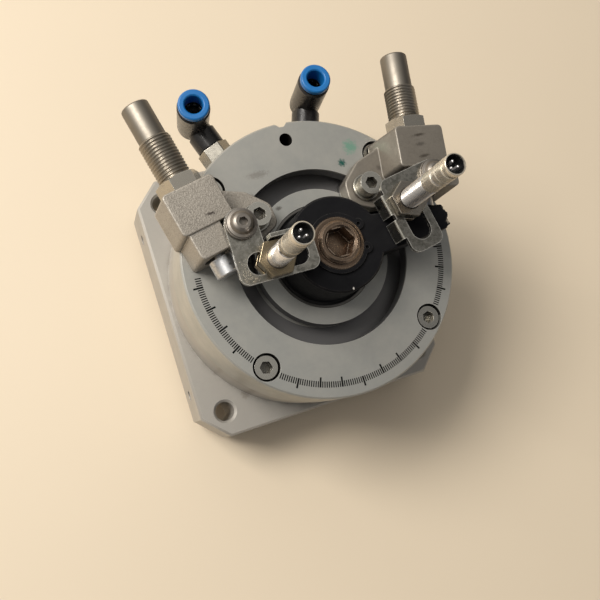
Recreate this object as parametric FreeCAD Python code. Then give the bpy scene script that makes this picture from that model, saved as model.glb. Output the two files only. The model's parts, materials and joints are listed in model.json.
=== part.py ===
import FreeCAD, Part
import math
import os

# Pneumatic vane actuator with two adjustable end stops.
# The turning axis is Z, the output flange face is z = 0 and the angle scale faces up.
# Lengths are in millimetres and angles in degrees.

# Levels along the turning axis
OUTPUT_DISC_T = 8.0
FRONT_GAP = 0.5
FLANGE_T = 26.0
BODY_T = 22.5
COVER_T = 27.0
FRONT_Z = OUTPUT_DISC_T + FRONT_GAP
FLANGE_TOP_Z = FRONT_Z + FLANGE_T
PARTING_Z = FLANGE_TOP_Z + BODY_T
DIAL_Z = PARTING_Z + COVER_T

# Housing
FLANGE_SIDE = 128.0
FLANGE_CORNER = 11.5
FLANGE_EDGE = 1.0
COVER_EDGE = 0.7
PARTING_EDGE = 1.2
MOUNT_EDGE = 12.0
MOUNT_SPACING = FLANGE_SIDE - 2 * MOUNT_EDGE
MOUNT_HOLE_R = 4.5
MOUNT_SINK_R = 5.6
SIDE_HOLE_R = 2.5
SIDE_HOLE_DEPTH = 12.0
SIDE_HOLE_SPACING = 80.0
CHAMBER_R = 45.0
BODY_WALL = 16.5
BODY_R = CHAMBER_R + BODY_WALL
COVER_STEP = 0.9
COVER_R = BODY_R + COVER_STEP
CHAMBER_DEPTH_FRONT = 16.0
CHAMBER_DEPTH_REAR = 10.0
CHAMBER_Z0 = PARTING_Z - CHAMBER_DEPTH_FRONT
CHAMBER_Z1 = PARTING_Z + CHAMBER_DEPTH_REAR

# Ring groove for the stops, hub and dial details
GROOVE_RI = 30.4
GROOVE_RO = 39.4
GROOVE_DEPTH = 12.0
LIP_T = 7.0
UNDERCUT = 2.8
HUB_DROP = 0.8
HUB_BORE_R = 23.3
HUB_BORE_DEPTH = 4.0
COVER_SCREW_EDGE = 6.8
COVER_SCREW_PITCH_R = COVER_R - COVER_SCREW_EDGE
COVER_SCREW_COUNT = 4
COVER_SCREW_FIRST = 45.0
COVER_SINK_R = 6.0
COVER_SINK_DEPTH = 7.0
COVER_SCREW_GRIP = 30.0
NOTCH_WIDTH = 6.2
NOTCH_DEPTH = 2.0
PIN_HOLE_R = 3.0
PIN_HOLE_EDGE = 8.1
PIN_HOLE_AT = COVER_R - PIN_HOLE_EDGE
PIN_HOLE_DEPTH = 14.0
O_RING_WALL = 4.0
O_RING_R = CHAMBER_R + O_RING_WALL
O_RING_WIDTH = 2.4
O_RING_DEPTH = 1.8

# Metric screw sizes: shank radius, head radius, head height, socket across flats
M6 = (3.0, 5.0, 6.0, 5.0)
M6_FLANGED = (3.0, 5.9, 3.3, 3.4)
M8_LOW = (4.0, 6.5, 5.0, 5.0)
BUTTON_RIM_T = 0.8
BUTTON_DOME = [(4.9, 1.1), (4.0, 2.6)]
BUTTON_CROWN_R = 2.9
BUTTON_SOCKET_DEPTH = 2.1
SOCKET_FLOOR = 0.45

# Clearances and overlaps shared by the fits
THREAD_GAP = 0.05
THREAD_RUNOUT = 1.0
SCREW_GAP = 0.2
RUN_GAP = 0.1
FIT_GAP = 0.03
OVERLAP = 1.0
TOUCH = 1e-4

# Shaft, bearings and seals
SHAFT_FRONT_R = 15.0
SHAFT_REAR_R = 12.5
SHAFT_SHOULDER_R = 17.5
SHAFT_PASSAGE_R = 18.5
FRONT_BEARING_R = 27.5
FRONT_BEARING_T = 13.0
FRONT_SEAL_T = 5.5
FRONT_SEAL_INSET = 1.0
REAR_BEARING_R = 21.0
REAR_BEARING_T = 9.0
REAR_SEAL_DROP = 1.5
REAR_SEAL_LIP_T = 1.5
SEAL_WEB_SHARE = 0.35
SEAL_WALL_SHARE = 0.22
RACE_SHARE = 0.3
BALL_SHARE = 0.52
FRONT_BALL_COUNT = 8
REAR_BALL_COUNT = 8
ROTOR_R = 20.0
OUTPUT_DISC_R = 30.0
OUTPUT_EDGE = 0.8
OUTPUT_PITCH_R = 22.0
OUTPUT_HOLE_R = 2.5
OUTPUT_HOLE_COUNT = 6
OUTPUT_HOLE_FIRST = 30.0
OUTPUT_HOLE_DEPTH = 7.0
OUTPUT_BORE_R = 10.0
OUTPUT_BORE_DEPTH = 5.0
OUTPUT_SINK_R = 7.0
OUTPUT_SINK_DEPTH = 10.5
OUTPUT_WEB_T = 3.5
OUTPUT_SCREW_GRIP = 18.0
SPIGOT_R = 10.0
SPIGOT_FLAT = 8.5
SPIGOT_LENGTH = 12.5

# Vane and barrier in the pressure chamber
VANE_T = 12.0
VANE_ROOT_DEPTH = 4.5
VANE_ROOT_R = ROTOR_R - VANE_ROOT_DEPTH
VANE_SEAL_T = 3.0
BARRIER_ANGLE = 90.0
BARRIER_HALF = 13.0
BARRIER_PIN_R = 2.5
BARRIER_PIN_AT = (ROTOR_R + CHAMBER_R) / 2
BARRIER_PIN_SPREAD = 6.0
BARRIER_PIN_LENGTH = 22.0
BARRIER_PIN_SINK = 4.4

# Stop lever and its screw
LEVER_ANGLE = 0.0
LEVER_HUB_R = 20.6
LEVER_TOP = 19.8
LEVER_BELOW = 1.2
LEVER_HUB_GAP = 1.0
LEVER_EDGE = 0.7
ARM_BOTTOM = 6.0
ARM_ROOT_HALF = 8.5
ARM_TIP_HALF = 5.2
ARM_LENGTH = 53.5
ARM_TIP_ROUND = 3.0
LEVER_SINK_R = 9.2
LEVER_SINK_DEPTH = 7.8
LEVER_SCREW_R = 6.0
LEVER_SCREW_HEAD_R = 9.1
LEVER_SCREW_HEAD_EDGE = 0.9
LEVER_SCREW_RISE = 4.0
LEVER_SCREW_FLANGE_R = 11.2
LEVER_SCREW_FLANGE_T = 1.5
LEVER_SCREW_FLANGE_EDGE = 0.4
LEVER_SCREW_SOCKET = 11.5
LEVER_SCREW_SOCKET_DEPTH = 8.0
LEVER_SCREW_MOUTH = 0.8
LEVER_SCREW_MOUTH_RIM = 0.35
LEVER_SCREW_LENGTH = 34.0
CLIP_WIDTH = 1.6
CLIP_T = 1.2
CLIP_LUG_R = 2.3
CLIP_LUG_OUT = 1.2
CLIP_HOLE_R = 0.8
CLIP_LUG_ANGLES = (-22.0, 28.0)
CLIP_LUG_CLEAR = 8.0

# Stops, drawn for the right-hand one: u points outwards, v points away from the lever
STOP_ANGLES = {"right": -9.0, "left": 13.0}
STOP_LIFT = 0.05
BLOCK_TOP = 23.2
BLOCK_INNER = 29.8
BLOCK_INNER_TOP = 33.3
BLOCK_OUTER = 56.4
BLOCK_FRONT = 29.6
BLOCK_REAR = 49.0
BLOCK_DRAFT = 0.5
BLOCK_ROUND = 2.0
BLOCK_TOP_ROUND = 0.7
STEP_TOP = 22.2
STEP_INNER = 39.2
STEP_OUTER = 54.2
STEP_FRONT = 18.8
PAD_INNER = 37.5
PAD_OUTER = 57.5
PAD_REAR = 30.5
FOOT_T = 8.0
FOOT_ROUND = 4.5
FOOT_END_R = 9.2
FOOT_REACH = 2.0
FOOT_BEVEL = 3.0
FOOT_NOSE = 1.0
CLAMP_U = 21.6
CLAMP_V = 26.5
CLAMP_WASHER_R = 6.0
CLAMP_WASHER_T = 1.6
CLAMP_SCREW_GRIP = 18.5
BOSS_AT = {"right": (44.0, 24.2), "left": (34.0, 24.5)}
BOSS_TOP = {"right": 27.0, "left": 23.5}
BOSS_R = 5.9
BOSS_WEB_T = 5.9
BOSS_WEB_TOP = 16.0
SLOT_NUT_HALF = 13.0
SLOT_NUT_GAP = 0.3
SLOT_NUT_NECK_GAP = 0.2

# Shock absorbers
ABSORBER_AXIS_U = 44.2
ABSORBER_AXIS_Z = 12.5
ABSORBER_R = 7.0
ABSORBER_TAIL_R = 6.0
ABSORBER_FRONT = 28.2
ABSORBER_THREAD_END = 69.6
ABSORBER_END = 85.4
ABSORBER_EDGE = 0.8
ABSORBER_SHIFT = {"right": 0.0, "left": 3.2}
LOCK_NUT_FLATS = 17.0
LOCK_NUT_T = 5.3
PLUNGER_TIP = {"right": 13.5, "left": 10.5}
PLUNGER_CAP_R = 5.6
PLUNGER_CAP_LENGTH = 7.5
PLUNGER_ROD_R = 2.5
PLUNGER_ROD_LENGTH = 22.0
PLUNGER_STROKE = 7.0
PLUNGER_END_GAP = 0.4
PLUNGER_EDGE = 0.5

# Sensor brackets and sensors
PLATE_T = 1.7
BRACKET_SLOT = 9.1
BRACKET_HOLE_R = 3.2
BRACKET_LOBE_R = 6.75
BRACKET_ROUND = 4.0
BRACKET_BEND_R = 1.2
BRACKET_TURN = {"right": 10.8, "left": 0.0}
LEFT_ARM_ACROSS = -16.8
LEFT_ARM_WIDTH = 15.0
LEFT_ARM_END = 27.0
LEFT_SLOT_START = -2.4
LEFT_SLOT_END = 23.4
LEFT_RIM = (7.6, 24.6)
LEFT_RIM_HEIGHT = 9.0
RIGHT_ARM_ACROSS = -17.2
RIGHT_ARM_WIDTH = 15.8
RIGHT_ARM_END = -27.0
RIGHT_SLOT_START = -22.8
RIGHT_SLOT_END = 0.5
RIGHT_TABS = ((-8.0, 1.0), (-19.0, -10.5))
RIGHT_TAB_HEIGHT = 8.1
BRACKET_WASHER_R = 6.4
BRACKET_WASHER_T = 1.5
BRACKET_SCREW_GRIP = {"right": 8.7, "left": 16.0}
SENSOR_OFFSET = {"right": (RIGHT_ARM_ACROSS, -5.3), "left": (9.3, LEFT_ARM_ACROSS)}
SENSOR_R = 4.4
SENSOR_FACE = 20.5
SENSOR_LENGTH = {"right": 51.5, "left": 43.4}
SENSOR_EDGE = 0.4
SENSOR_NECK_R = 3.9
SENSOR_GROOVES = {"right": [(38.5, 40.0), (47.6, 48.8)], "left": [(19.5, 22.0)]}
SENSOR_PLUG_BORE_R = 3.4
SENSOR_PLUG_DEPTH = 8.0
SENSOR_INSERT_T = 3.5
SENSOR_PIN_R = 0.5
SENSOR_PIN_LENGTH = 3.6
SENSOR_PIN_PITCH_R = 1.6
SENSOR_PIN_COUNT = 3
SENSOR_PIN_FIRST = 90.0
SENSOR_NUT_FLATS = 14.2
SENSOR_NUT_T = 4.0
SENSOR_THIN_NUT_T = 3.0
SENSOR_NUT_TURN = {"right": 30.0, "left": 0.0}

# Air fittings
PORT_ANGLES = {"right": 70.0, "left": 109.1}
PORT_DROP = 35.0
PORT_Z = DIAL_Z - PORT_DROP
PORT_FACE_SINK = 1.2
PORT_FACE = BODY_R - PORT_FACE_SINK
PORT_FACE_R = 9.0
PORT_THREAD_R = 4.9
PORT_THREAD_DEPTH = 8.0
PORT_BORE_R = 3.5
PORT_SEAL_R = 7.2
PORT_SEAL_T = 1.0
STEM_HEX_FLATS = 14.0
STEM_HEX_T = 11.8
STEM_SPIGOT_R = 4.2
STEM_SPIGOT_LENGTH = 9.0
STEM_PASSAGE_R = 2.5
ELBOW_OUT = 28.2
ELBOW_R = 7.6
ELBOW_LEAN = {"right": 5.5, "left": 9.0}
ELBOW_COLLAR_R = 6.9
ELBOW_COLLAR_LENGTH = 8.2
ELBOW_NECK_R = 6.0
ELBOW_SOLE = 6.6
ELBOW_SOLE_ROUND = 3.0
ELBOW_GAP = 0.3
ELBOW_LEG = 20.8
ELBOW_EDGE = 0.8
TUBE_R = 4.0
TUBE_GAP = 0.1
TUBE_DEPTH = 14.0
TUBE_SEAL_R = 5.4
TUBE_SEAL_T = 2.0
TUBE_SEAL_DROP = 11.0
RING_R = 7.2
RING_T = 2.8
RING_GAP = 1.4
RING_SKIRT_R = 5.3
RING_SKIRT = 6.0
RING_EDGE = 0.6

UP = FreeCAD.Vector(0, 0, 1)
ORIGIN = FreeCAD.Vector(0, 0, 0)


def vec(x, y, z):
    return FreeCAD.Vector(x, y, z)


def polar(radius, angle, z):
    """Point at a radius and angle about the turning axis."""
    turn = math.radians(angle)
    return vec(radius * math.cos(turn), radius * math.sin(turn), z)


def rod(radius, start, end):
    """Round bar between two points."""
    along = end - start
    return Part.makeCylinder(radius, along.Length, start, along)


def tube(outer, inner, start, end):
    """Round bar with a bore."""
    return rod(outer, start, end).cut(rod(inner, start, end))


def face_of(points):
    """Flat face inside a closed run of straight edges."""
    return Part.Face(Part.makePolygon(points + points[:1]))


def turned(profile, angle=360.0):
    """Solid turned about Z from (radius, z) points."""
    return face_of([vec(r, 0, z) for r, z in profile]).revolve(ORIGIN, UP, angle)


def rounded_wire(points, radius, z):
    """Closed outline with every corner rounded by a tangent arc."""
    corners = [vec(x, y, z) for x, y in points]
    edges = []
    arcs = []
    for i, corner in enumerate(corners):
        back = (corners[i - 1] - corner).normalize()
        ahead = (corners[(i + 1) % len(corners)] - corner).normalize()
        half = back.getAngle(ahead) / 2
        reach = radius / math.tan(half)
        middle = (back + ahead).normalize()
        centre = corner + middle * (radius / math.sin(half))
        arcs.append((corner + back * reach, centre - middle * radius, corner + ahead * reach))
    for i, (start, mid, end) in enumerate(arcs):
        edges.append(Part.Arc(start, mid, end).toShape())
        edges.append(Part.makeLine(end, arcs[(i + 1) % len(arcs)][0]))
    return Part.Wire(edges)


def rounded_prism(points, radius, z0, z1):
    """Upright solid on a rounded outline."""
    return Part.Face(rounded_wire(points, radius, z0)).extrude(vec(0, 0, z1 - z0))


def drafted_block(bottom, top, radius, z0, z1):
    """Cast block that narrows from its bottom outline to its top outline."""
    return Part.makeLoft([rounded_wire(bottom, radius, z0), rounded_wire(top, radius, z1)], True, True)


def soften(shape, radius, z):
    """Round the edges that lie at one height."""
    flat = [e for e in shape.Edges if e.BoundBox.ZLength < TOUCH]
    return shape.makeFillet(radius, [e for e in flat if abs(e.BoundBox.ZMin - z) < TOUCH])


def rectangle(x0, x1, y0, y1):
    return [(x0, y0), (x1, y0), (x1, y1), (x0, y1)]


def hexagon(flats, centre, along, thickness):
    """Hexagonal prism that starts at a centre and runs along a direction."""
    corner_r = flats / math.sqrt(3)
    points = [polar(corner_r, 60 * k, 0) for k in range(6)]
    prism = face_of(points).extrude(vec(0, 0, thickness))
    prism.Placement = FreeCAD.Placement(centre, FreeCAD.Rotation(UP, along))
    return prism


def socket_screw(size, grip, at):
    """Cap screw with its head standing on a point."""
    shank_r, head_r, head_h, flats = size
    body = rod(shank_r, at - UP * grip, at).fuse(rod(head_r, at, at + UP * head_h)).removeSplitter()
    return body.cut(hexagon(flats, at + UP * (head_h * SOCKET_FLOOR), UP, head_h))


def flanged_screw(size, grip, at):
    """Button-head screw with a flange, standing on a point."""
    shank_r, flange_r, head_h, flats = size
    shank = [(0, -grip), (shank_r, -grip), (shank_r, 0)]
    head = [(flange_r, 0), (flange_r, BUTTON_RIM_T), *BUTTON_DOME, (BUTTON_CROWN_R, head_h), (0, head_h)]
    body = turned(shank + head)
    body = body.cut(hexagon(flats, vec(0, 0, head_h - BUTTON_SOCKET_DEPTH), UP, head_h))
    body.translate(at)
    return body


def around_axis(shape, count, first=0.0):
    """Copies of a shape spaced evenly about the turning axis."""
    copies = []
    for k in range(count):
        copy = shape.copy()
        copy.rotate(ORIGIN, UP, first + k * 360.0 / count)
        copies.append(copy)
    return Part.makeCompound(copies)


def place_stop(shape, side):
    """Put a right-hand stop piece on the dial, mirrored for the left side."""
    placed = shape.mirror(ORIGIN, vec(1, 0, 0)) if side == "left" else shape.copy()
    placed.rotate(ORIGIN, UP, STOP_ANGLES[side])
    return placed


def stop_point(u, v, z, side):
    """Point of a stop, given in the stop's own directions."""
    sign = -1 if side == "left" else 1
    return FreeCAD.Rotation(UP, STOP_ANGLES[side]).multVec(vec(sign * u, v, z))


def front_housing():
    half = FLANGE_SIDE / 2
    inner = half - FLANGE_CORNER
    outline = [vec(inner, -half, 0), vec(half, -inner, 0), vec(half, inner, 0), vec(inner, half, 0),
               vec(-inner, half, 0), vec(-half, inner, 0), vec(-half, -inner, 0), vec(-inner, -half, 0)]
    flange = face_of(outline).extrude(vec(0, 0, FLANGE_T))
    flange = flange.makeChamfer(FLANGE_EDGE, [e for e in flange.Edges if e.BoundBox.ZLength < TOUCH])
    flange.translate(vec(0, 0, FRONT_Z))
    body = turned([(0, FLANGE_TOP_Z - FLANGE_EDGE), (BODY_R, FLANGE_TOP_Z - FLANGE_EDGE),
                   (BODY_R, PARTING_Z - PARTING_EDGE), (BODY_R - PARTING_EDGE, PARTING_Z), (0, PARTING_Z)])
    shape = flange.fuse(body)
    bearing_top = front_bearing_top()
    shape = shape.cut(turned([(0, FRONT_Z), (FRONT_BEARING_R, FRONT_Z), (FRONT_BEARING_R, bearing_top),
                              (SHAFT_PASSAGE_R, bearing_top), (SHAFT_PASSAGE_R, CHAMBER_Z0),
                              (CHAMBER_R, CHAMBER_Z0), (CHAMBER_R, PARTING_Z), (0, PARTING_Z)]))
    shape = shape.cut(o_ring_space())
    for x in (-1, 1):
        for y in (-1, 1):
            at = vec(x * MOUNT_SPACING / 2, y * MOUNT_SPACING / 2, 0)
            hole = turned([(0, FRONT_Z), (MOUNT_HOLE_R, FRONT_Z),
                           (MOUNT_HOLE_R, FLANGE_TOP_Z + MOUNT_HOLE_R - MOUNT_SINK_R),
                           (MOUNT_SINK_R, FLANGE_TOP_Z), (MOUNT_SINK_R, PARTING_Z), (0, PARTING_Z)])
            hole.translate(at)
            shape = shape.cut(hole)
    side_z = FRONT_Z + FLANGE_T / 2
    for turn in range(4):
        for y in (-1, 1):
            start = vec(half - SIDE_HOLE_DEPTH, y * SIDE_HOLE_SPACING / 2, side_z)
            hole = rod(SIDE_HOLE_R, start, start + vec(SIDE_HOLE_DEPTH, 0, 0))
            hole.rotate(ORIGIN, UP, 90 * turn)
            shape = shape.cut(hole)
    for angle in PORT_ANGLES.values():
        shape = shape.cut(port_space(angle))
    tapped_z = cover_screw_seat() - COVER_SCREW_GRIP - THREAD_RUNOUT
    tapped = rod(M6[0] + THREAD_GAP, vec(COVER_SCREW_PITCH_R, 0, tapped_z), vec(COVER_SCREW_PITCH_R, 0, PARTING_Z))
    shape = shape.cut(around_axis(tapped, COVER_SCREW_COUNT, COVER_SCREW_FIRST))
    return shape.cut(barrier_pins())


def port_space(angle):
    """Spot face, tapped hole and air passage of one port."""
    face = polar(PORT_FACE, angle, PORT_Z)
    seat = rod(PORT_FACE_R, face, polar(BODY_R + OVERLAP, angle, PORT_Z))
    thread = rod(PORT_THREAD_R + THREAD_GAP, polar(PORT_FACE - PORT_THREAD_DEPTH, angle, PORT_Z), face)
    passage = rod(PORT_BORE_R, polar(CHAMBER_R - OVERLAP, angle, PORT_Z), face)
    return seat.fuse([thread, passage])


def o_ring_space():
    return turned([(O_RING_R, PARTING_Z - O_RING_DEPTH), (O_RING_R + O_RING_WIDTH, PARTING_Z - O_RING_DEPTH),
                   (O_RING_R + O_RING_WIDTH, PARTING_Z), (O_RING_R, PARTING_Z)])


def cover_screw_seat():
    return DIAL_Z - COVER_SINK_DEPTH


def rear_cover():
    hub_z = DIAL_Z - HUB_DROP
    floor = DIAL_Z - GROOVE_DEPTH
    lip = DIAL_Z - LIP_T
    seal_z = DIAL_Z - HUB_BORE_DEPTH
    bearing_z = seal_z - REAR_BEARING_T
    rim = [(CHAMBER_R, PARTING_Z), (COVER_R - PARTING_EDGE, PARTING_Z), (COVER_R, PARTING_Z + PARTING_EDGE),
           (COVER_R, DIAL_Z - COVER_EDGE), (COVER_R - COVER_EDGE, DIAL_Z)]
    groove = [(GROOVE_RO, DIAL_Z), (GROOVE_RO, lip), (GROOVE_RO + UNDERCUT, lip), (GROOVE_RO + UNDERCUT, floor),
              (GROOVE_RI - UNDERCUT, floor), (GROOVE_RI - UNDERCUT, lip), (GROOVE_RI, lip), (GROOVE_RI, hub_z)]
    hub = [(HUB_BORE_R, hub_z), (HUB_BORE_R, seal_z), (REAR_BEARING_R, seal_z), (REAR_BEARING_R, bearing_z),
           (SHAFT_PASSAGE_R, bearing_z), (SHAFT_PASSAGE_R, CHAMBER_Z1), (CHAMBER_R, CHAMBER_Z1)]
    shape = turned(rim + groove + hub)
    seat = cover_screw_seat()
    sink = rod(COVER_SINK_R, vec(COVER_SCREW_PITCH_R, 0, seat), vec(COVER_SCREW_PITCH_R, 0, DIAL_Z))
    hole = rod(M6[0] + SCREW_GAP, vec(COVER_SCREW_PITCH_R, 0, PARTING_Z), vec(COVER_SCREW_PITCH_R, 0, DIAL_Z))
    shape = shape.cut(around_axis(sink.fuse(hole), COVER_SCREW_COUNT, COVER_SCREW_FIRST))
    pin_at = vec(0, PIN_HOLE_AT, DIAL_Z)
    shape = shape.cut(rod(PIN_HOLE_R, pin_at - UP * PIN_HOLE_DEPTH, pin_at))
    notch_in = COVER_R - NOTCH_DEPTH
    notch_out = COVER_R + NOTCH_DEPTH
    slope = 2 * NOTCH_DEPTH
    notch = face_of([vec(-NOTCH_WIDTH / 2 + NOTCH_DEPTH, notch_in, PARTING_Z),
                     vec(NOTCH_WIDTH / 2 - NOTCH_DEPTH, notch_in, PARTING_Z),
                     vec(NOTCH_WIDTH / 2 - NOTCH_DEPTH + slope, notch_out, PARTING_Z),
                     vec(-NOTCH_WIDTH / 2 + NOTCH_DEPTH - slope, notch_out, PARTING_Z)])
    return shape.cut(notch.extrude(vec(0, 0, COVER_T)))


def cover_screws():
    screw = socket_screw(M6, COVER_SCREW_GRIP, vec(COVER_SCREW_PITCH_R, 0, cover_screw_seat()))
    return around_axis(screw, COVER_SCREW_COUNT, COVER_SCREW_FIRST)


def cover_o_ring():
    return o_ring_space()


def ring_sector(inner, outer, z0, z1, middle, half):
    """Part of a ring between two angles."""
    sector = turned([(inner, z0), (outer, z0), (outer, z1), (inner, z1)], 2 * half)
    sector.rotate(ORIGIN, UP, middle - half)
    return sector


def barrier_seal_space():
    corner = vec(ROTOR_R + FIT_GAP, -VANE_SEAL_T / 2, CHAMBER_Z0)
    block = Part.makeBox(VANE_SEAL_T, VANE_SEAL_T, CHAMBER_Z1 - CHAMBER_Z0, corner)
    block = block.cut(rod(ROTOR_R + FIT_GAP, vec(0, 0, CHAMBER_Z0), vec(0, 0, CHAMBER_Z1)))
    block.rotate(ORIGIN, UP, BARRIER_ANGLE)
    return block


def barrier_pins():
    pins = []
    for side in (-1, 1):
        angle = BARRIER_ANGLE + side * BARRIER_PIN_SPREAD
        start = polar(BARRIER_PIN_AT, angle, CHAMBER_Z0 - BARRIER_PIN_SINK)
        pins.append(rod(BARRIER_PIN_R, start, start + UP * BARRIER_PIN_LENGTH))
    return Part.makeCompound(pins)


def fixed_barrier():
    block = ring_sector(ROTOR_R + RUN_GAP, CHAMBER_R, CHAMBER_Z0, CHAMBER_Z1, BARRIER_ANGLE, BARRIER_HALF)
    return block.cut(barrier_seal_space()).cut(barrier_pins())


def bearing(inner_r, outer_r, z0, thickness, ball_count):
    """Outer race, inner race and balls of a deep-groove bearing."""
    wall = outer_r - inner_r
    race = wall * RACE_SHARE
    pitch_r = (inner_r + outer_r) / 2
    ball_r = wall * BALL_SHARE / 2
    middle = z0 + thickness / 2
    groove = Part.makeTorus(pitch_r, ball_r + FIT_GAP, vec(0, 0, middle), UP)
    outer = tube(outer_r, outer_r - race, vec(0, 0, z0), vec(0, 0, z0 + thickness)).cut(groove)
    inner = tube(inner_r + race, inner_r, vec(0, 0, z0), vec(0, 0, z0 + thickness)).cut(groove)
    balls = around_axis(Part.makeSphere(ball_r, vec(pitch_r, 0, middle)), ball_count)
    return outer, inner, balls


def front_bearing():
    start = FRONT_Z + FRONT_SEAL_INSET + FRONT_SEAL_T
    return bearing(SHAFT_FRONT_R, FRONT_BEARING_R, start, FRONT_BEARING_T, FRONT_BALL_COUNT)


def rear_bearing():
    start = DIAL_Z - HUB_BORE_DEPTH - REAR_BEARING_T
    return bearing(SHAFT_REAR_R, REAR_BEARING_R, start, REAR_BEARING_T, REAR_BALL_COUNT)


def lip_seal(inner, outer, z0, thickness):
    """Ring seal with a hollow between its lip and its outer wall."""
    top = z0 + thickness
    web = z0 + thickness * SEAL_WEB_SHARE
    wall = (outer - inner) * SEAL_WALL_SHARE
    return turned([(inner, z0), (outer, z0), (outer, top), (outer - wall, top), (outer - wall, web),
                   (inner + wall, web), (inner + wall, top), (inner, top)])


def front_shaft_seal():
    return lip_seal(SHAFT_FRONT_R + FIT_GAP, FRONT_BEARING_R, FRONT_Z + FRONT_SEAL_INSET, FRONT_SEAL_T)


def rear_shaft_seal():
    z0 = DIAL_Z - HUB_BORE_DEPTH
    rim_top = DIAL_Z - REAR_SEAL_DROP
    lip_top = z0 + REAR_SEAL_LIP_T
    lip = SHAFT_REAR_R + FIT_GAP
    rim = LEVER_HUB_R + LEVER_HUB_GAP
    return turned([(lip, z0), (HUB_BORE_R, z0), (HUB_BORE_R, rim_top), (rim, rim_top), (rim, lip_top),
                   (lip, lip_top)])


def spigot(radius, flat, z0, z1):
    """Round end with two flats that drives the lever."""
    bar = rod(radius, vec(0, 0, z0), vec(0, 0, z1))
    return bar.common(Part.makeBox(2 * radius, 2 * flat, z1 - z0, vec(-radius, -flat, z0)))


def lever_seat_z():
    return DIAL_Z - LEVER_BELOW


def front_bearing_top():
    return FRONT_Z + FRONT_SEAL_INSET + FRONT_SEAL_T + FRONT_BEARING_T


def output_web_top():
    return OUTPUT_SINK_DEPTH + OUTPUT_WEB_T


def output_flange():
    """Driven flange on a sleeve that runs in the front bearing."""
    top = front_bearing_top()
    rim = OUTPUT_DISC_R - OUTPUT_EDGE
    shape = turned([(0, 0), (rim, 0), (OUTPUT_DISC_R, OUTPUT_EDGE), (OUTPUT_DISC_R, OUTPUT_DISC_T - OUTPUT_EDGE),
                    (rim, OUTPUT_DISC_T), (SHAFT_FRONT_R, OUTPUT_DISC_T), (SHAFT_FRONT_R, top), (0, top)])
    shape = shape.cut(rod(OUTPUT_BORE_R, ORIGIN, UP * OUTPUT_BORE_DEPTH))
    shape = shape.cut(rod(OUTPUT_SINK_R, ORIGIN, UP * OUTPUT_SINK_DEPTH))
    shape = shape.cut(rod(M8_LOW[0] + SCREW_GAP, ORIGIN, UP * top))
    shape = shape.cut(spigot(SPIGOT_R + FIT_GAP, SPIGOT_FLAT + FIT_GAP, output_web_top(), top))
    hole = rod(OUTPUT_HOLE_R, vec(OUTPUT_PITCH_R, 0, 0), vec(OUTPUT_PITCH_R, 0, OUTPUT_HOLE_DEPTH))
    return shape.cut(around_axis(hole, OUTPUT_HOLE_COUNT, OUTPUT_HOLE_FIRST))


def output_screw():
    """Screw that pulls the output flange on to the shaft, put in from below."""
    screw = socket_screw(M8_LOW, OUTPUT_SCREW_GRIP, ORIGIN)
    screw.rotate(ORIGIN, vec(1, 0, 0), 180)
    screw.translate(UP * OUTPUT_SINK_DEPTH)
    return screw


def output_shaft():
    shoulder_z = front_bearing_top()
    rear_bearing_z = DIAL_Z - HUB_BORE_DEPTH - REAR_BEARING_T
    profile = [(0, shoulder_z), (SHAFT_SHOULDER_R, shoulder_z), (SHAFT_SHOULDER_R, CHAMBER_Z0 + RUN_GAP),
               (ROTOR_R, CHAMBER_Z0 + RUN_GAP), (ROTOR_R, CHAMBER_Z1 - RUN_GAP),
               (SHAFT_FRONT_R, CHAMBER_Z1 - RUN_GAP), (SHAFT_FRONT_R, rear_bearing_z),
               (SHAFT_REAR_R, rear_bearing_z), (SHAFT_REAR_R, lever_seat_z()), (0, lever_seat_z())]
    shape = turned(profile)
    front_end = output_web_top() + SCREW_GAP
    top = lever_seat_z() + SPIGOT_LENGTH
    shape = shape.fuse([spigot(SPIGOT_R, SPIGOT_FLAT, front_end, shoulder_z + OVERLAP),
                        spigot(SPIGOT_R, SPIGOT_FLAT, lever_seat_z() - OVERLAP, top)]).removeSplitter()
    shape = shape.cut(rod(LEVER_SCREW_R + THREAD_GAP, vec(0, 0, top - LEVER_SCREW_LENGTH), UP * top))
    screw_end = OUTPUT_SINK_DEPTH + OUTPUT_SCREW_GRIP + THREAD_RUNOUT
    shape = shape.cut(rod(M8_LOW[0] + THREAD_GAP, UP * front_end, UP * screw_end))
    slot = Part.makeBox(2 * ROTOR_R, VANE_T, CHAMBER_Z1 - CHAMBER_Z0, vec(0, -VANE_T / 2, CHAMBER_Z0))
    slot = slot.common(tube(ROTOR_R + OVERLAP, VANE_ROOT_R, vec(0, 0, CHAMBER_Z0), vec(0, 0, CHAMBER_Z1)))
    slot.rotate(ORIGIN, UP, LEVER_ANGLE)
    return shape.cut(slot)


def vane_seal_space(outer):
    height = CHAMBER_Z1 - CHAMBER_Z0 - 2 * RUN_GAP
    corner = vec(outer - VANE_SEAL_T, -VANE_SEAL_T / 2, CHAMBER_Z0 + RUN_GAP)
    block = Part.makeBox(2 * VANE_SEAL_T, VANE_SEAL_T, height, corner)
    return block.common(rod(outer, vec(0, 0, CHAMBER_Z0), vec(0, 0, CHAMBER_Z1)))


def vane():
    z0 = CHAMBER_Z0 + RUN_GAP
    z1 = CHAMBER_Z1 - RUN_GAP
    block = Part.makeBox(CHAMBER_R, VANE_T, z1 - z0, vec(VANE_ROOT_R, -VANE_T / 2, z0))
    block = block.common(tube(CHAMBER_R - SCREW_GAP, VANE_ROOT_R, vec(0, 0, z0), vec(0, 0, z1)))
    block = block.cut(vane_seal_space(CHAMBER_R - FIT_GAP))
    block.rotate(ORIGIN, UP, LEVER_ANGLE)
    return block


def vane_seal():
    seal = vane_seal_space(CHAMBER_R - FIT_GAP)
    seal.rotate(ORIGIN, UP, LEVER_ANGLE)
    return seal


def arm_outline(half_root, half_tip, length):
    """Tapered arm from the axis to its rounded tip."""
    return [(0, -half_root), (length, -half_tip), (length, half_tip), (0, half_root)]


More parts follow.
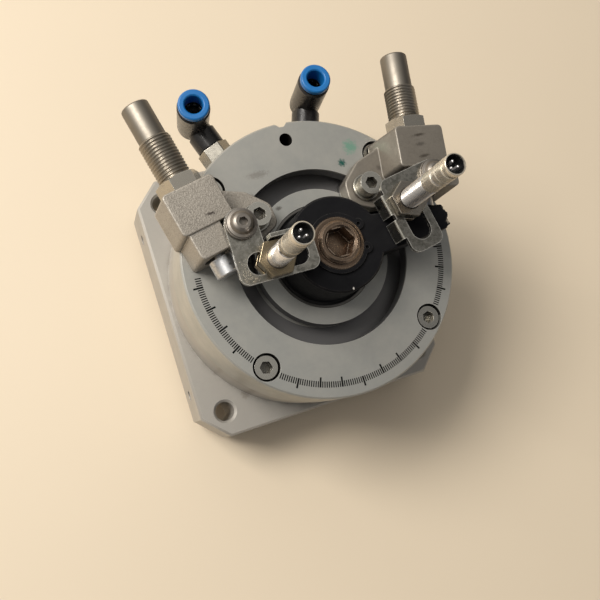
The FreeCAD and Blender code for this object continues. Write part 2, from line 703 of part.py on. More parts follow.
def stop_lever():
    base = lever_seat_z()
    top = DIAL_Z + LEVER_TOP
    hub = turned([(0, base), (LEVER_HUB_R, base), (LEVER_HUB_R, top - LEVER_EDGE), (LEVER_HUB_R - LEVER_EDGE, top),
                  (0, top)])
    root_half = ARM_ROOT_HALF + (ARM_ROOT_HALF - ARM_TIP_HALF) * LEVER_HUB_R / (ARM_LENGTH - LEVER_HUB_R)
    arm = rounded_prism(arm_outline(root_half, ARM_TIP_HALF, ARM_LENGTH), ARM_TIP_ROUND, DIAL_Z + ARM_BOTTOM, top)
    shape = hub.fuse(soften(arm, LEVER_EDGE, top)).removeSplitter()
    socket_top = base + SPIGOT_LENGTH + THREAD_RUNOUT
    shape = shape.cut(spigot(SPIGOT_R + FIT_GAP, SPIGOT_FLAT + FIT_GAP, base, socket_top))
    shape = shape.cut(rod(LEVER_SINK_R, vec(0, 0, top - LEVER_SINK_DEPTH), vec(0, 0, top)))
    shape.rotate(ORIGIN, UP, LEVER_ANGLE)
    return shape


def lever_clip():
    """Retaining ring round the screw's flange, open between two lugs with holes."""
    z0 = DIAL_Z + LEVER_TOP
    inner = LEVER_SCREW_FLANGE_R + THREAD_GAP
    first, second = CLIP_LUG_ANGLES
    gap_half = (second - first) / 2 - CLIP_LUG_CLEAR
    gap_middle = (first + second) / 2
    shape = ring_sector(inner, inner + CLIP_WIDTH, z0, z0 + CLIP_T, gap_middle + 180, 180 - gap_half)
    for angle in CLIP_LUG_ANGLES:
        at = polar(inner + CLIP_LUG_OUT, angle, z0)
        lug = rod(CLIP_LUG_R, at, at + UP * CLIP_T).cut(rod(inner, UP * z0, UP * (z0 + CLIP_T)))
        shape = shape.fuse(lug).cut(rod(CLIP_HOLE_R, at, at + UP * CLIP_T))
    shape = shape.removeSplitter()
    shape.rotate(ORIGIN, UP, LEVER_ANGLE)
    return shape


def lever_screw():
    top = DIAL_Z + LEVER_TOP
    sink = top - LEVER_SINK_DEPTH
    flange_top = top + LEVER_SCREW_FLANGE_T
    head_top = top + LEVER_SCREW_RISE
    end = lever_seat_z() + SPIGOT_LENGTH - LEVER_SCREW_LENGTH + THREAD_RUNOUT
    shank = [(0, end), (LEVER_SCREW_R, end), (LEVER_SCREW_R, sink), (LEVER_SCREW_HEAD_R, sink)]
    flange = [(LEVER_SCREW_HEAD_R, top), (LEVER_SCREW_FLANGE_R, top),
              (LEVER_SCREW_FLANGE_R, flange_top - LEVER_SCREW_FLANGE_EDGE),
              (LEVER_SCREW_FLANGE_R - LEVER_SCREW_FLANGE_EDGE, flange_top)]
    head = [(LEVER_SCREW_HEAD_R, flange_top), (LEVER_SCREW_HEAD_R, head_top - LEVER_SCREW_HEAD_EDGE),
            (LEVER_SCREW_HEAD_R - LEVER_SCREW_HEAD_EDGE, head_top), (0, head_top)]
    socket_at = UP * (head_top - LEVER_SCREW_SOCKET_DEPTH)
    shape = turned(shank + flange + head).cut(hexagon(LEVER_SCREW_SOCKET, socket_at, UP, LEVER_SCREW_SOCKET_DEPTH))
    mouth_r = LEVER_SCREW_SOCKET / math.sqrt(3) + LEVER_SCREW_MOUTH_RIM
    mouth_z = head_top - LEVER_SCREW_MOUTH
    return shape.cut(Part.makeCone(mouth_r - LEVER_SCREW_MOUTH, mouth_r, LEVER_SCREW_MOUTH, UP * mouth_z))


def foot_outline():
    """Foot that reaches over the ring groove, wide at the block and round at the clamp screw."""
    inner = CLAMP_U - FOOT_END_R
    front = CLAMP_V - FOOT_END_R
    root = STEP_INNER + FOOT_REACH
    return [(root, STEP_FRONT + FOOT_NOSE), (CLAMP_U + FOOT_REACH, front), (inner + FOOT_NOSE, front + FOOT_BEVEL),
            (inner, CLAMP_V + FOOT_BEVEL), (CLAMP_U - FOOT_REACH, CLAMP_V + FOOT_END_R + FOOT_BEVEL),
            (BLOCK_INNER + FOOT_BEVEL, BLOCK_REAR - FOOT_BEVEL), (root, BLOCK_REAR - FOOT_REACH)]


def cast_step(inner, outer, rear, top):
    """Drafted block in front of the main body."""
    step = drafted_block(rectangle(inner, outer, STEP_FRONT, rear),
                         rectangle(inner + BLOCK_DRAFT, outer - BLOCK_DRAFT, STEP_FRONT + BLOCK_DRAFT / 2, rear),
                         BLOCK_ROUND, DIAL_Z + STOP_LIFT, DIAL_Z + top)
    return soften(step, BLOCK_TOP_ROUND, DIAL_Z + top)


def bracket_seat(side):
    """Raised pad on the right or round boss on the left, under the sensor bracket."""
    if side == "right":
        return cast_step(PAD_INNER, PAD_OUTER, PAD_REAR, BOSS_TOP[side])
    at = vec(*BOSS_AT[side], DIAL_Z + STOP_LIFT)
    boss = rod(BOSS_R, at, vec(at.x, at.y, plate_z(side)))
    web_length = STEP_INNER + BLOCK_ROUND - at.x
    return boss.fuse(Part.makeBox(web_length, BOSS_WEB_T, BOSS_WEB_TOP, at - vec(0, BOSS_WEB_T / 2, 0)))


def stop_block(side):
    z0 = DIAL_Z + STOP_LIFT
    block_z = DIAL_Z + BLOCK_TOP
    block = drafted_block(rectangle(BLOCK_INNER, BLOCK_OUTER, BLOCK_FRONT, BLOCK_REAR),
                          rectangle(BLOCK_INNER_TOP, BLOCK_OUTER - BLOCK_DRAFT, BLOCK_FRONT + BLOCK_DRAFT,
                                    BLOCK_REAR - BLOCK_DRAFT), BLOCK_ROUND, z0, block_z)
    block = soften(block, BLOCK_TOP_ROUND, block_z)
    step = cast_step(STEP_INNER, STEP_OUTER, (BLOCK_FRONT + BLOCK_REAR) / 2, STEP_TOP)
    foot = soften(rounded_prism(foot_outline(), FOOT_ROUND, z0, DIAL_Z + FOOT_T), BLOCK_TOP_ROUND, DIAL_Z + FOOT_T)
    shape = block.fuse([step, foot, bracket_seat(side)]).removeSplitter()
    axis = vec(ABSORBER_AXIS_U, 0, DIAL_Z + ABSORBER_AXIS_Z)
    shape = shape.cut(rod(ABSORBER_R + THREAD_GAP, axis + vec(0, STEP_FRONT - OVERLAP, 0),
                          axis + vec(0, BLOCK_REAR + OVERLAP, 0)))
    clamp = vec(CLAMP_U, CLAMP_V, z0)
    shape = shape.cut(rod(M6[0] + SCREW_GAP, clamp, clamp + UP * FOOT_T))
    tapped_z = bracket_screw_seat(side) - BRACKET_SCREW_GRIP[side] - THREAD_RUNOUT
    shape = shape.cut(rod(M6[0] + THREAD_GAP, vec(*BOSS_AT[side], tapped_z), vec(*BOSS_AT[side], plate_z(side))))
    return place_stop(shape, side)


def clamp_screw(side):
    seat = vec(CLAMP_U, CLAMP_V, DIAL_Z + FOOT_T + CLAMP_WASHER_T)
    return place_stop(socket_screw(M6, CLAMP_SCREW_GRIP, seat), side)


def clamp_washer(side):
    at = vec(CLAMP_U, CLAMP_V, DIAL_Z + FOOT_T)
    return place_stop(tube(CLAMP_WASHER_R, M6[0] + RUN_GAP, at, at + UP * CLAMP_WASHER_T), side)


def slot_nut(side):
    """Curved T nut that hangs under the lips of the ring groove."""
    under = DIAL_Z - LIP_T - RUN_GAP
    floor = DIAL_Z - GROOVE_DEPTH + RUN_GAP
    neck_top = DIAL_Z - RUN_GAP - HUB_DROP
    wide = UNDERCUT - SLOT_NUT_GAP
    neck_out = GROOVE_RO - SLOT_NUT_NECK_GAP
    neck_in = GROOVE_RI + SLOT_NUT_NECK_GAP
    profile = [(GROOVE_RI - wide, floor), (GROOVE_RO + wide, floor), (GROOVE_RO + wide, under), (neck_out, under),
               (neck_out, neck_top), (neck_in, neck_top), (neck_in, under), (GROOVE_RI - wide, under)]
    nut = turned(profile, 2 * SLOT_NUT_HALF)
    nut.rotate(ORIGIN, UP, math.degrees(math.atan2(CLAMP_V, CLAMP_U)) - SLOT_NUT_HALF)
    nut = nut.cut(rod(M6[0] + THREAD_GAP, vec(CLAMP_U, CLAMP_V, floor), vec(CLAMP_U, CLAMP_V, DIAL_Z)))
    return place_stop(nut, side)


def along_absorber(profile):
    """Solid turned about the absorber axis from (radius, v) points."""
    shape = turned(profile)
    shape.rotate(ORIGIN, vec(1, 0, 0), -90)
    shape.translate(vec(ABSORBER_AXIS_U, 0, DIAL_Z + ABSORBER_AXIS_Z))
    return shape


def absorber_body(side):
    rod_bore = PLUNGER_ROD_R + RUN_GAP
    rod_end = PLUNGER_TIP[side] + PLUNGER_CAP_LENGTH + PLUNGER_ROD_LENGTH + PLUNGER_STROKE + PLUNGER_END_GAP
    front = ABSORBER_FRONT + ABSORBER_SHIFT[side]
    thread_end = ABSORBER_THREAD_END + ABSORBER_SHIFT[side]
    end = ABSORBER_END + ABSORBER_SHIFT[side]
    profile = [(rod_bore, front), (ABSORBER_R - ABSORBER_EDGE, front), (ABSORBER_R, front + ABSORBER_EDGE),
               (ABSORBER_R, thread_end - ABSORBER_EDGE), (ABSORBER_R - ABSORBER_EDGE, thread_end),
               (ABSORBER_TAIL_R, thread_end), (ABSORBER_TAIL_R, end - ABSORBER_EDGE),
               (ABSORBER_TAIL_R - ABSORBER_EDGE, end), (0, end), (0, rod_end), (rod_bore, rod_end)]
    return place_stop(along_absorber(profile), side)


def lock_nut(side):
    start = vec(ABSORBER_AXIS_U, BLOCK_REAR, DIAL_Z + ABSORBER_AXIS_Z)
    nut = hexagon(LOCK_NUT_FLATS, start, vec(0, 1, 0), LOCK_NUT_T)
    corner = LOCK_NUT_FLATS / math.sqrt(3)
    bevel = corner - LOCK_NUT_FLATS / 2
    end = BLOCK_REAR + LOCK_NUT_T
    nut = nut.common(along_absorber([(0, BLOCK_REAR), (corner, BLOCK_REAR), (corner, end - bevel / 2),
                                     (LOCK_NUT_FLATS / 2, end), (0, end)]))
    nut = nut.cut(rod(ABSORBER_R + THREAD_GAP, start, start + vec(0, LOCK_NUT_T, 0)))
    return place_stop(nut, side)


def absorber_plunger(side):
    tip = PLUNGER_TIP[side]
    cap_end = tip + PLUNGER_CAP_LENGTH
    rod_end = cap_end + PLUNGER_ROD_LENGTH
    profile = [(0, tip), (PLUNGER_CAP_R - PLUNGER_EDGE, tip), (PLUNGER_CAP_R, tip + PLUNGER_EDGE),
               (PLUNGER_CAP_R, cap_end), (PLUNGER_ROD_R, cap_end), (PLUNGER_ROD_R, rod_end), (0, rod_end)]
    return place_stop(along_absorber(profile), side)


def slotted_plate(outline, lobe, slot):
    """Flat bracket plate with a fixing hole at its origin and an oblong slot."""
    plate = rounded_prism(outline, BRACKET_ROUND, 0, PLATE_T).fuse(lobe).removeSplitter()
    plate = plate.cut(rod(BRACKET_HOLE_R, ORIGIN, UP * PLATE_T))
    return plate.cut(rounded_prism(slot, BRACKET_SLOT / 2 - FIT_GAP, 0, PLATE_T))


def plate_z(side):
    """Underside of a sensor bracket's plate."""
    return DIAL_Z + BOSS_TOP[side]


def bracket_point(x, y, z, side):
    """Point of a sensor bracket, measured from its fixing hole."""
    return stop_point(*BOSS_AT[side], z, side) + FreeCAD.Rotation(UP, BRACKET_TURN[side]).multVec(vec(x, y, 0))


def place_bracket(shape, side):
    """Turn a bracket drawn round its fixing hole and put it on its seat."""
    shape.rotate(ORIGIN, UP, BRACKET_TURN[side])
    shape.translate(bracket_point(0, 0, plate_z(side), side))
    return shape


def rim_strip(rim, across, height):
    """Bent edge that stands beside a bracket plate, with a rounded bend."""
    inner = Part.makeBox(rim[1] - rim[0], PLATE_T, height, vec(rim[0], across, 0))
    low = [e for e in inner.Edges if e.BoundBox.ZMax < TOUCH]
    return inner.makeFillet(BRACKET_BEND_R, [e for e in low if e.BoundBox.YMin > across + PLATE_T - TOUCH])


def left_sensor_bracket():
    half = LEFT_ARM_WIDTH / 2
    low = LEFT_ARM_ACROSS - half
    high = LEFT_ARM_ACROSS + half
    slot_half = BRACKET_SLOT / 2
    neck = Part.makeBox(2 * BRACKET_LOBE_R, -LEFT_ARM_ACROSS, PLATE_T, vec(-BRACKET_LOBE_R, LEFT_ARM_ACROSS, 0))
    lobe = rod(BRACKET_LOBE_R, ORIGIN, UP * PLATE_T).fuse(neck)
    plate = slotted_plate(rectangle(-BRACKET_LOBE_R, LEFT_ARM_END, low, high), lobe,
                          rectangle(LEFT_SLOT_START, LEFT_SLOT_END, LEFT_ARM_ACROSS - slot_half,
                                    LEFT_ARM_ACROSS + slot_half))
    rim = rim_strip(LEFT_RIM, high, LEFT_RIM_HEIGHT)
    return place_bracket(plate.fuse(rim).removeSplitter(), "left")


def right_sensor_bracket():
    half = RIGHT_ARM_WIDTH / 2
    low = RIGHT_ARM_ACROSS - half
    slot_half = BRACKET_SLOT / 2
    bar = Part.makeBox(-RIGHT_ARM_ACROSS, 2 * BRACKET_LOBE_R, PLATE_T, vec(RIGHT_ARM_ACROSS, -BRACKET_LOBE_R, 0))
    lobe = rod(BRACKET_LOBE_R, ORIGIN, UP * PLATE_T).fuse(bar)
    plate = slotted_plate(rectangle(low, RIGHT_ARM_ACROSS + half, RIGHT_ARM_END, BRACKET_LOBE_R), lobe,
                          rectangle(RIGHT_ARM_ACROSS - slot_half, RIGHT_ARM_ACROSS + slot_half, RIGHT_SLOT_START,
                                    RIGHT_SLOT_END))
    for tab in RIGHT_TABS:
        strip = rim_strip(tab, 0, RIGHT_TAB_HEIGHT)
        strip.rotate(ORIGIN, vec(1, 0, 0), 180)
        strip.rotate(ORIGIN, UP, -90)
        strip.translate(vec(low, tab[0] + tab[1], PLATE_T))
        plate = plate.fuse(strip)
    return place_bracket(plate.removeSplitter(), "right")


def bracket_screw_seat(side):
    return plate_z(side) + PLATE_T + BRACKET_WASHER_T


def bracket_screw(side):
    return flanged_screw(M6_FLANGED, BRACKET_SCREW_GRIP[side], bracket_point(0, 0, bracket_screw_seat(side), side))


def bracket_washer(side):
    at = bracket_point(0, 0, plate_z(side) + PLATE_T, side)
    return tube(BRACKET_WASHER_R, BRACKET_HOLE_R, at, at + UP * BRACKET_WASHER_T)


def sensor_at(side, z):
    """Point on a sensor's axis."""
    return bracket_point(*SENSOR_OFFSET[side], z, side)


def sensor_barrel(side):
    top = SENSOR_LENGTH[side]
    floor = top - SENSOR_PLUG_DEPTH
    profile = [(0, 0), (SENSOR_R - SENSOR_EDGE, 0), (SENSOR_R, SENSOR_EDGE)]
    for low, high in SENSOR_GROOVES[side]:
        profile += [(SENSOR_R, low), (SENSOR_NECK_R, low), (SENSOR_NECK_R, high), (SENSOR_R, high)]
    profile += [(SENSOR_R, top - SENSOR_EDGE), (SENSOR_R - SENSOR_EDGE, top), (SENSOR_PLUG_BORE_R, top),
                (SENSOR_PLUG_BORE_R, floor), (0, floor)]
    barrel = turned(profile)
    barrel.translate(sensor_at(side, DIAL_Z + SENSOR_FACE))
    return barrel


def sensor_insert(side):
    """Plug insert with three contact pins."""
    base = sensor_at(side, DIAL_Z + SENSOR_FACE + SENSOR_LENGTH[side] - SENSOR_PLUG_DEPTH)
    disc_top = base + UP * SENSOR_INSERT_T
    shape = rod(SENSOR_PLUG_BORE_R, base, disc_top)
    for k in range(SENSOR_PIN_COUNT):
        foot = disc_top + polar(SENSOR_PIN_PITCH_R, SENSOR_PIN_FIRST + k * 360 / SENSOR_PIN_COUNT, -OVERLAP)
        shape = shape.fuse(rod(SENSOR_PIN_R, foot, foot + UP * (SENSOR_PIN_LENGTH + OVERLAP)))
    return shape.removeSplitter()


def sensor_nuts(side):
    """Two nuts that grip the bracket plate, the lower one thin to clear the lever."""
    nuts = []
    below = (plate_z(side) - SENSOR_THIN_NUT_T, SENSOR_THIN_NUT_T)
    above = (plate_z(side) + PLATE_T, SENSOR_NUT_T)
    for z, thickness in (below, above):
        at = sensor_at(side, z)
        nut = hexagon(SENSOR_NUT_FLATS, at, UP, thickness)
        nut.rotate(at, UP, BRACKET_TURN[side] + SENSOR_NUT_TURN[side])
        nuts.append(nut.cut(rod(SENSOR_R + THREAD_GAP, at, at + UP * thickness)))
    return Part.makeCompound(nuts)


def port_seal(side):
    angle = PORT_ANGLES[side]
    return tube(PORT_SEAL_R, PORT_THREAD_R + THREAD_GAP, polar(PORT_FACE, angle, PORT_Z),
                polar(PORT_FACE + PORT_SEAL_T, angle, PORT_Z))


def stem_hex_end():
    return PORT_FACE + PORT_SEAL_T + STEM_HEX_T


def fitting_stem(side):
    angle = PORT_ANGLES[side]
    hex_start = PORT_FACE + PORT_SEAL_T
    hex_end = stem_hex_end()
    spigot_end = hex_end + STEM_SPIGOT_LENGTH
    thread_end = PORT_FACE - PORT_THREAD_DEPTH + THREAD_RUNOUT
    thread = rod(PORT_THREAD_R, polar(thread_end, angle, PORT_Z), polar(hex_start, angle, PORT_Z))
    nut = hexagon(STEM_HEX_FLATS, polar(hex_start, angle, PORT_Z), polar(1, angle, 0), STEM_HEX_T)
    neck = rod(STEM_SPIGOT_R, polar(hex_end, angle, PORT_Z), polar(spigot_end, angle, PORT_Z))
    shape = nut.fuse([thread, neck]).removeSplitter()
    return shape.cut(rod(STEM_PASSAGE_R, polar(thread_end, angle, PORT_Z), polar(spigot_end, angle, PORT_Z)))


def elbow_axis_r():
    return PORT_FACE + ELBOW_OUT


def elbow_top_z():
    return PORT_Z + ELBOW_LEG


def lean_elbow(shape, side):
    """Swivel an elbow piece about its port axis, towards -X."""
    shape.rotate(UP * PORT_Z, polar(1, PORT_ANGLES[side], 0), -ELBOW_LEAN[side])
    return shape


def fitting_elbow(side):
    angle = PORT_ANGLES[side]
    start = stem_hex_end() + ELBOW_GAP
    bend = polar(elbow_axis_r(), angle, PORT_Z)
    sole = bend - UP * ELBOW_SOLE
    top = polar(elbow_axis_r(), angle, elbow_top_z())
    collar = rod(ELBOW_COLLAR_R, polar(start, angle, PORT_Z), polar(start + ELBOW_COLLAR_LENGTH, angle, PORT_Z))
    neck = rod(ELBOW_NECK_R, polar(start, angle, PORT_Z), bend)
    leg = rod(ELBOW_R, sole, top)
    leg = leg.makeChamfer(ELBOW_EDGE, [e for e in leg.Edges if e.BoundBox.ZMin > top.z - TOUCH])
    leg = soften(leg, ELBOW_SOLE_ROUND, sole.z)
    shape = leg.fuse([collar, neck]).removeSplitter()
    spigot_end = stem_hex_end() + STEM_SPIGOT_LENGTH + ELBOW_GAP
    shape = shape.cut(rod(STEM_SPIGOT_R + RUN_GAP, polar(start, angle, PORT_Z), polar(spigot_end, angle, PORT_Z)))
    shape = shape.cut(rod(STEM_PASSAGE_R, polar(start, angle, PORT_Z), bend))
    shape = shape.cut(rod(STEM_PASSAGE_R, bend, top))
    shape = shape.cut(rod(TUBE_R + TUBE_GAP, top - UP * TUBE_DEPTH, top))
    shape = shape.cut(rod(RING_SKIRT_R + RUN_GAP, top - UP * (RING_SKIRT + RING_GAP), top))
    seal_z = top - UP * TUBE_SEAL_DROP
    return lean_elbow(shape.cut(rod(TUBE_SEAL_R, seal_z, seal_z + UP * TUBE_SEAL_T)), side)


def tube_seal(side):
    at = polar(elbow_axis_r(), PORT_ANGLES[side], elbow_top_z() - TUBE_SEAL_DROP)
    return lean_elbow(tube(TUBE_SEAL_R, TUBE_R + TUBE_GAP, at, at + UP * TUBE_SEAL_T), side)


def release_ring(side):
    at = polar(elbow_axis_r(), PORT_ANGLES[side], elbow_top_z())
    bore = TUBE_R + TUBE_GAP
    low = RING_GAP - RING_SKIRT
    top = RING_GAP + RING_T
    skirt = [(bore, low), (RING_SKIRT_R, low), (RING_SKIRT_R, RING_GAP)]
    flange = [(RING_R, RING_GAP), (RING_R, top - RING_EDGE), (RING_R - RING_EDGE, top), (bore + RING_EDGE, top),
              (bore, top - RING_EDGE)]
    shape = turned(skirt + flange)
    shape.translate(at)
    return lean_elbow(shape, side)


def build():
    """All pieces by node name."""
    front_outer, front_inner, front_balls = front_bearing()
    rear_outer, rear_inner, rear_balls = rear_bearing()
    pieces = {
        "front_housing": front_housing(),
        "rear_cover": rear_cover(),
        "cover_screws": cover_screws(),
        "cover_o_ring": cover_o_ring(),
        "fixed_barrier": fixed_barrier(),
        "barrier_pins": barrier_pins(),
        "barrier_seal": barrier_seal_space(),
        "front_bearing_outer": front_outer,
        "front_bearing_inner": front_inner,
        "front_bearing_balls": front_balls,
        "rear_bearing_outer": rear_outer,
        "rear_bearing_inner": rear_inner,
        "rear_bearing_balls": rear_balls,
        "front_shaft_seal": front_shaft_seal(),
        "rear_shaft_seal": rear_shaft_seal(),
        "output_flange": output_flange(),
        "output_screw": output_screw(),
        "output_shaft": output_shaft(),
        "vane": vane(),
        "vane_seal": vane_seal(),
        "stop_lever": stop_lever(),
        "lever_screw": lever_screw(),
        "lever_clip": lever_clip(),
        "left_sensor_bracket": left_sensor_bracket(),
        "right_sensor_bracket": right_sensor_bracket(),
    }
    paired = [stop_block, clamp_screw, clamp_washer, slot_nut, absorber_body, lock_nut, absorber_plunger,
              bracket_screw, bracket_washer, sensor_barrel, sensor_insert, sensor_nuts, port_seal, fitting_stem,
              fitting_elbow, tube_seal, release_ring]
    for side in ("left", "right"):
        for make in paired:
            pieces[side + "_" + make.__name__] = make(side)
    return pieces


os.makedirs("parts", exist_ok=True)
for name, shape in build().items():
    shape.exportStep("parts/" + name + ".step")
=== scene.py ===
import json
import logging
import math
from dataclasses import dataclass
from enum import Enum
from typing import Dict, List, Optional, Sequence, Tuple, Union

import bmesh
import bpy
from mathutils import Matrix, Vector, noise

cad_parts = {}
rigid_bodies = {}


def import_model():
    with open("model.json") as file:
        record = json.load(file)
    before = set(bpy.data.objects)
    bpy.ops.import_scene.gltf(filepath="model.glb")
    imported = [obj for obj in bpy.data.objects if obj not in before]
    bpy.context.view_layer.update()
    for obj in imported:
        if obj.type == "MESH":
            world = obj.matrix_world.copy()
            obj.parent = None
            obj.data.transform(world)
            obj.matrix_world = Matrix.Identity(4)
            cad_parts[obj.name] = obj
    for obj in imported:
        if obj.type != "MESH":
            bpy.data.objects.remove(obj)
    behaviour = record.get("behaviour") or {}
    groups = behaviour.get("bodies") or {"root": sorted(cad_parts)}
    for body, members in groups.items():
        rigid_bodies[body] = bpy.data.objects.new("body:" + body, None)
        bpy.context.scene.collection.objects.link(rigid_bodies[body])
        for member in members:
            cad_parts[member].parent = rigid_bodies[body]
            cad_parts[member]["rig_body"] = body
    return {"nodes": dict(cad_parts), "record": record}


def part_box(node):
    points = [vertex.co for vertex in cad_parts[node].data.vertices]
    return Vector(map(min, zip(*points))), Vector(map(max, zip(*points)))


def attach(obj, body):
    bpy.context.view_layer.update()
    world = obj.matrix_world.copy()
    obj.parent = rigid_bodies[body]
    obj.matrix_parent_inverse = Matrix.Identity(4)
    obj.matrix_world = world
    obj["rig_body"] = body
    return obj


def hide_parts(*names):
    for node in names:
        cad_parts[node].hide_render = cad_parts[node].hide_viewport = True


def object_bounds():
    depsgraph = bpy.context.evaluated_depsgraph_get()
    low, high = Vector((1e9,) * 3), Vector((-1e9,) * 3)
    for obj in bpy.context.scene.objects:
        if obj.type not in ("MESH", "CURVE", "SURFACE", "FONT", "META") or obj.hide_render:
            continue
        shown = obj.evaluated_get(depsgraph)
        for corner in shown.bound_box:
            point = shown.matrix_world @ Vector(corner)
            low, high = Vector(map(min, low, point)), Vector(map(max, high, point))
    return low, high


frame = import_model()
cad_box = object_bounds()

MM = 0.001
SHARP_ANGLE = 32.0
FLAT_ANGLE = 0.4
WELD = 2e-6
COAT_ROUGHNESS = 0.12
# Metallic on abraded edges; set low so that the edges also show a painted highlight.
HIGHLIT_EDGE_METALLIC = 0.5
SCUFF_STRENGTH = 0.6
Colour = Tuple[float, float, float]
Triple = Tuple[float, float, float]
Point = Tuple[float, float]
SocketKey = Union[str, int]
Socket = bpy.types.NodeSocket
Tree = bpy.types.NodeTree
Mesh = bpy.types.Mesh
log = logging.getLogger("actuator")


class Slot(Enum):
    """Finishes of the actuator, under the names that the record gives them."""

    HOUSING = "anodised_aluminium"
    SHAFT = "shaft_steel"
    BEARING = "bearing_steel"
    SCREW = "screw_steel"
    BRACKET = "bracket_zinc"
    ABSORBER = "absorber_steel"
    SENSOR = "sensor_nickel"
    STEM = "fitting_nickel"
    CASTING = "stop_casting"
    LEVER = "lever_black"
    LEVER_SCREW = "lever_screw_yellow"
    RUBBER = "seal_rubber"
    VANE = "vane_aluminium"
    ELBOW = "fitting_black"
    RING = "release_blue"
    PLUG = "plug_black"
    PORT_SEAL = "port_seal_white"


class Look(Enum):
    """Looks of the surfaces; several of them can share one slot."""

    BODY = "satin_body"
    DIAL = "dial_cover"
    INK = "dial_ink"
    SHAFT = "ground_steel"
    CASE = "seal_case"
    BEARING = "polished_race"
    SCREW = "zinc_screw"
    BUTTON = "pewter_screw"
    BRACKET = "mottled_sheet"
    TAIL = "drawn_tail"
    THREAD = "cut_thread"
    LOCK_NUT = "plain_nut"
    CAP = "mottled_cap"
    BARREL = "nickel_barrel"
    FINE_THREAD = "nickel_thread"
    SLEEVE = "pale_sleeve"
    GOLD_NUT = "golden_nut"
    GREY_NUT = "grey_nut"
    STEM = "nickel_stem"
    GRAINY_CASTING = "grainy_casting"
    SCUFFED_CASTING = "scuffed_casting"
    LEVER = "black_lever"
    LEVER_SCREW = "bronze_screw"
    RUBBER = "matt_rubber"
    VANE = "milled_vane"
    ELBOW = "black_elbow"
    RING = "blue_ring"
    PLUG = "black_insert"
    PORT_SEAL = "white_seal"


class Side(Enum):
    """The two halves of the stop gear."""

    LEFT = "left"
    RIGHT = "right"


class Effect(Enum):
    """Surface effects that several finishes share."""

    GRAIN = "fine_grain"
    MOTTLE = "plating_mottle"
    # Abraded edges that also carry a painted highlight.
    EDGE = "edge_wear"
    RINGS = "turning_rings"
    # Painted shade in corners and recesses, broken into uneven patches like soiling.
    GRIME = "corner_grime"
    SCUFF = "fine_scuffs"
    # Painted shade in ring-shaped zones about the axis.
    BAND = "groove_band"
    SPOT = "ink_spot"


def rgba(colour: Sequence[float]) -> Tuple[float, ...]:
    """Colour with full cover, as a socket takes it."""
    return (*colour, 1.0)


class NodeBench:
    """Adds and joins nodes in one node tree."""

    def __init__(self, tree: Tree) -> None:
        """Work on a shader or geometry tree."""
        self.tree = tree

    def link(self, value: Socket, socket: Socket) -> None:
        """Feed one socket from another."""
        self.tree.links.new(value, socket)

    def add(self, kind: str, inputs: Optional[Dict[SocketKey, object]] = None,
            **settings: object) -> bpy.types.Node:
        """Place one node.

        Args:
            kind: node type name.
            inputs: values or sockets for its inputs, by name or number.
            settings: properties of the node itself.

        Returns:
            The new node.
        """
        node = self.tree.nodes.new(kind)
        for key, value in settings.items():
            setattr(node, key, value)
        for key, value in (inputs or {}).items():
            if isinstance(value, Socket):
                self.link(value, node.inputs[key])
            else:
                node.inputs[key].default_value = value
        return node

    def math(self, operation: str, a: object, b: object = 0.0, clamp: bool = False) -> Socket:
        """Join two values or sockets by a sum, and keep the result between 0 and 1 if told."""
        node = self.add("ShaderNodeMath", {0: a, 1: b}, operation=operation, use_clamp=clamp)
        return node.outputs[0]

    def inverse(self, value: object) -> Socket:
        """One divided by a value."""
        return self.math("DIVIDE", 1.0, value)

    def vector(self, operation: str, a: object, b: object = (0.0, 0.0, 0.0)) -> bpy.types.Node:
        """Node that joins two vectors by a sum, with a vector and a value output."""
        return self.add("ShaderNodeVectorMath", {0: a, 1: b}, operation=operation)

    def blend(self, factor: object, a: object, b: object) -> Socket:
        """Mix two colours or sockets, by the share of the second."""
        inputs = {0: factor, 6: a, 7: b}
        return self.add("ShaderNodeMix", inputs, data_type="RGBA", clamp_factor=True).outputs[2]

    def span(self, value: object, low: object, high: object, to_low: float = 0.0,
             to_high: float = 1.0) -> Socket:
        """Stretch a value from one range to another, and keep it in there."""
        inputs = {0: value, 1: low, 2: high, 3: to_low, 4: to_high}
        return self.add("ShaderNodeMapRange", inputs, clamp=True).outputs[0]

    def cloud(self, place: object, scale: object, detail: float = 4.0,
              rough: float = 0.6) -> Socket:
        """Soft noise near one half over a place, with its scale in waves in a metre."""
        inputs = {"Vector": place, "Scale": scale, "Detail": detail, "Roughness": rough}
        return self.add("ShaderNodeTexNoise", inputs).outputs[0]

    def place(self) -> Socket:
        """Place on the piece, in metres."""
        return self.add("ShaderNodeTexCoord").outputs["Object"]

    def axis_distance(self, place: object) -> Socket:
        """Distance of a place from the turning axis."""
        flat = self.vector("MULTIPLY", place, (1.0, 1.0, 0.0)).outputs[0]
        return self.vector("LENGTH", flat).outputs[1]


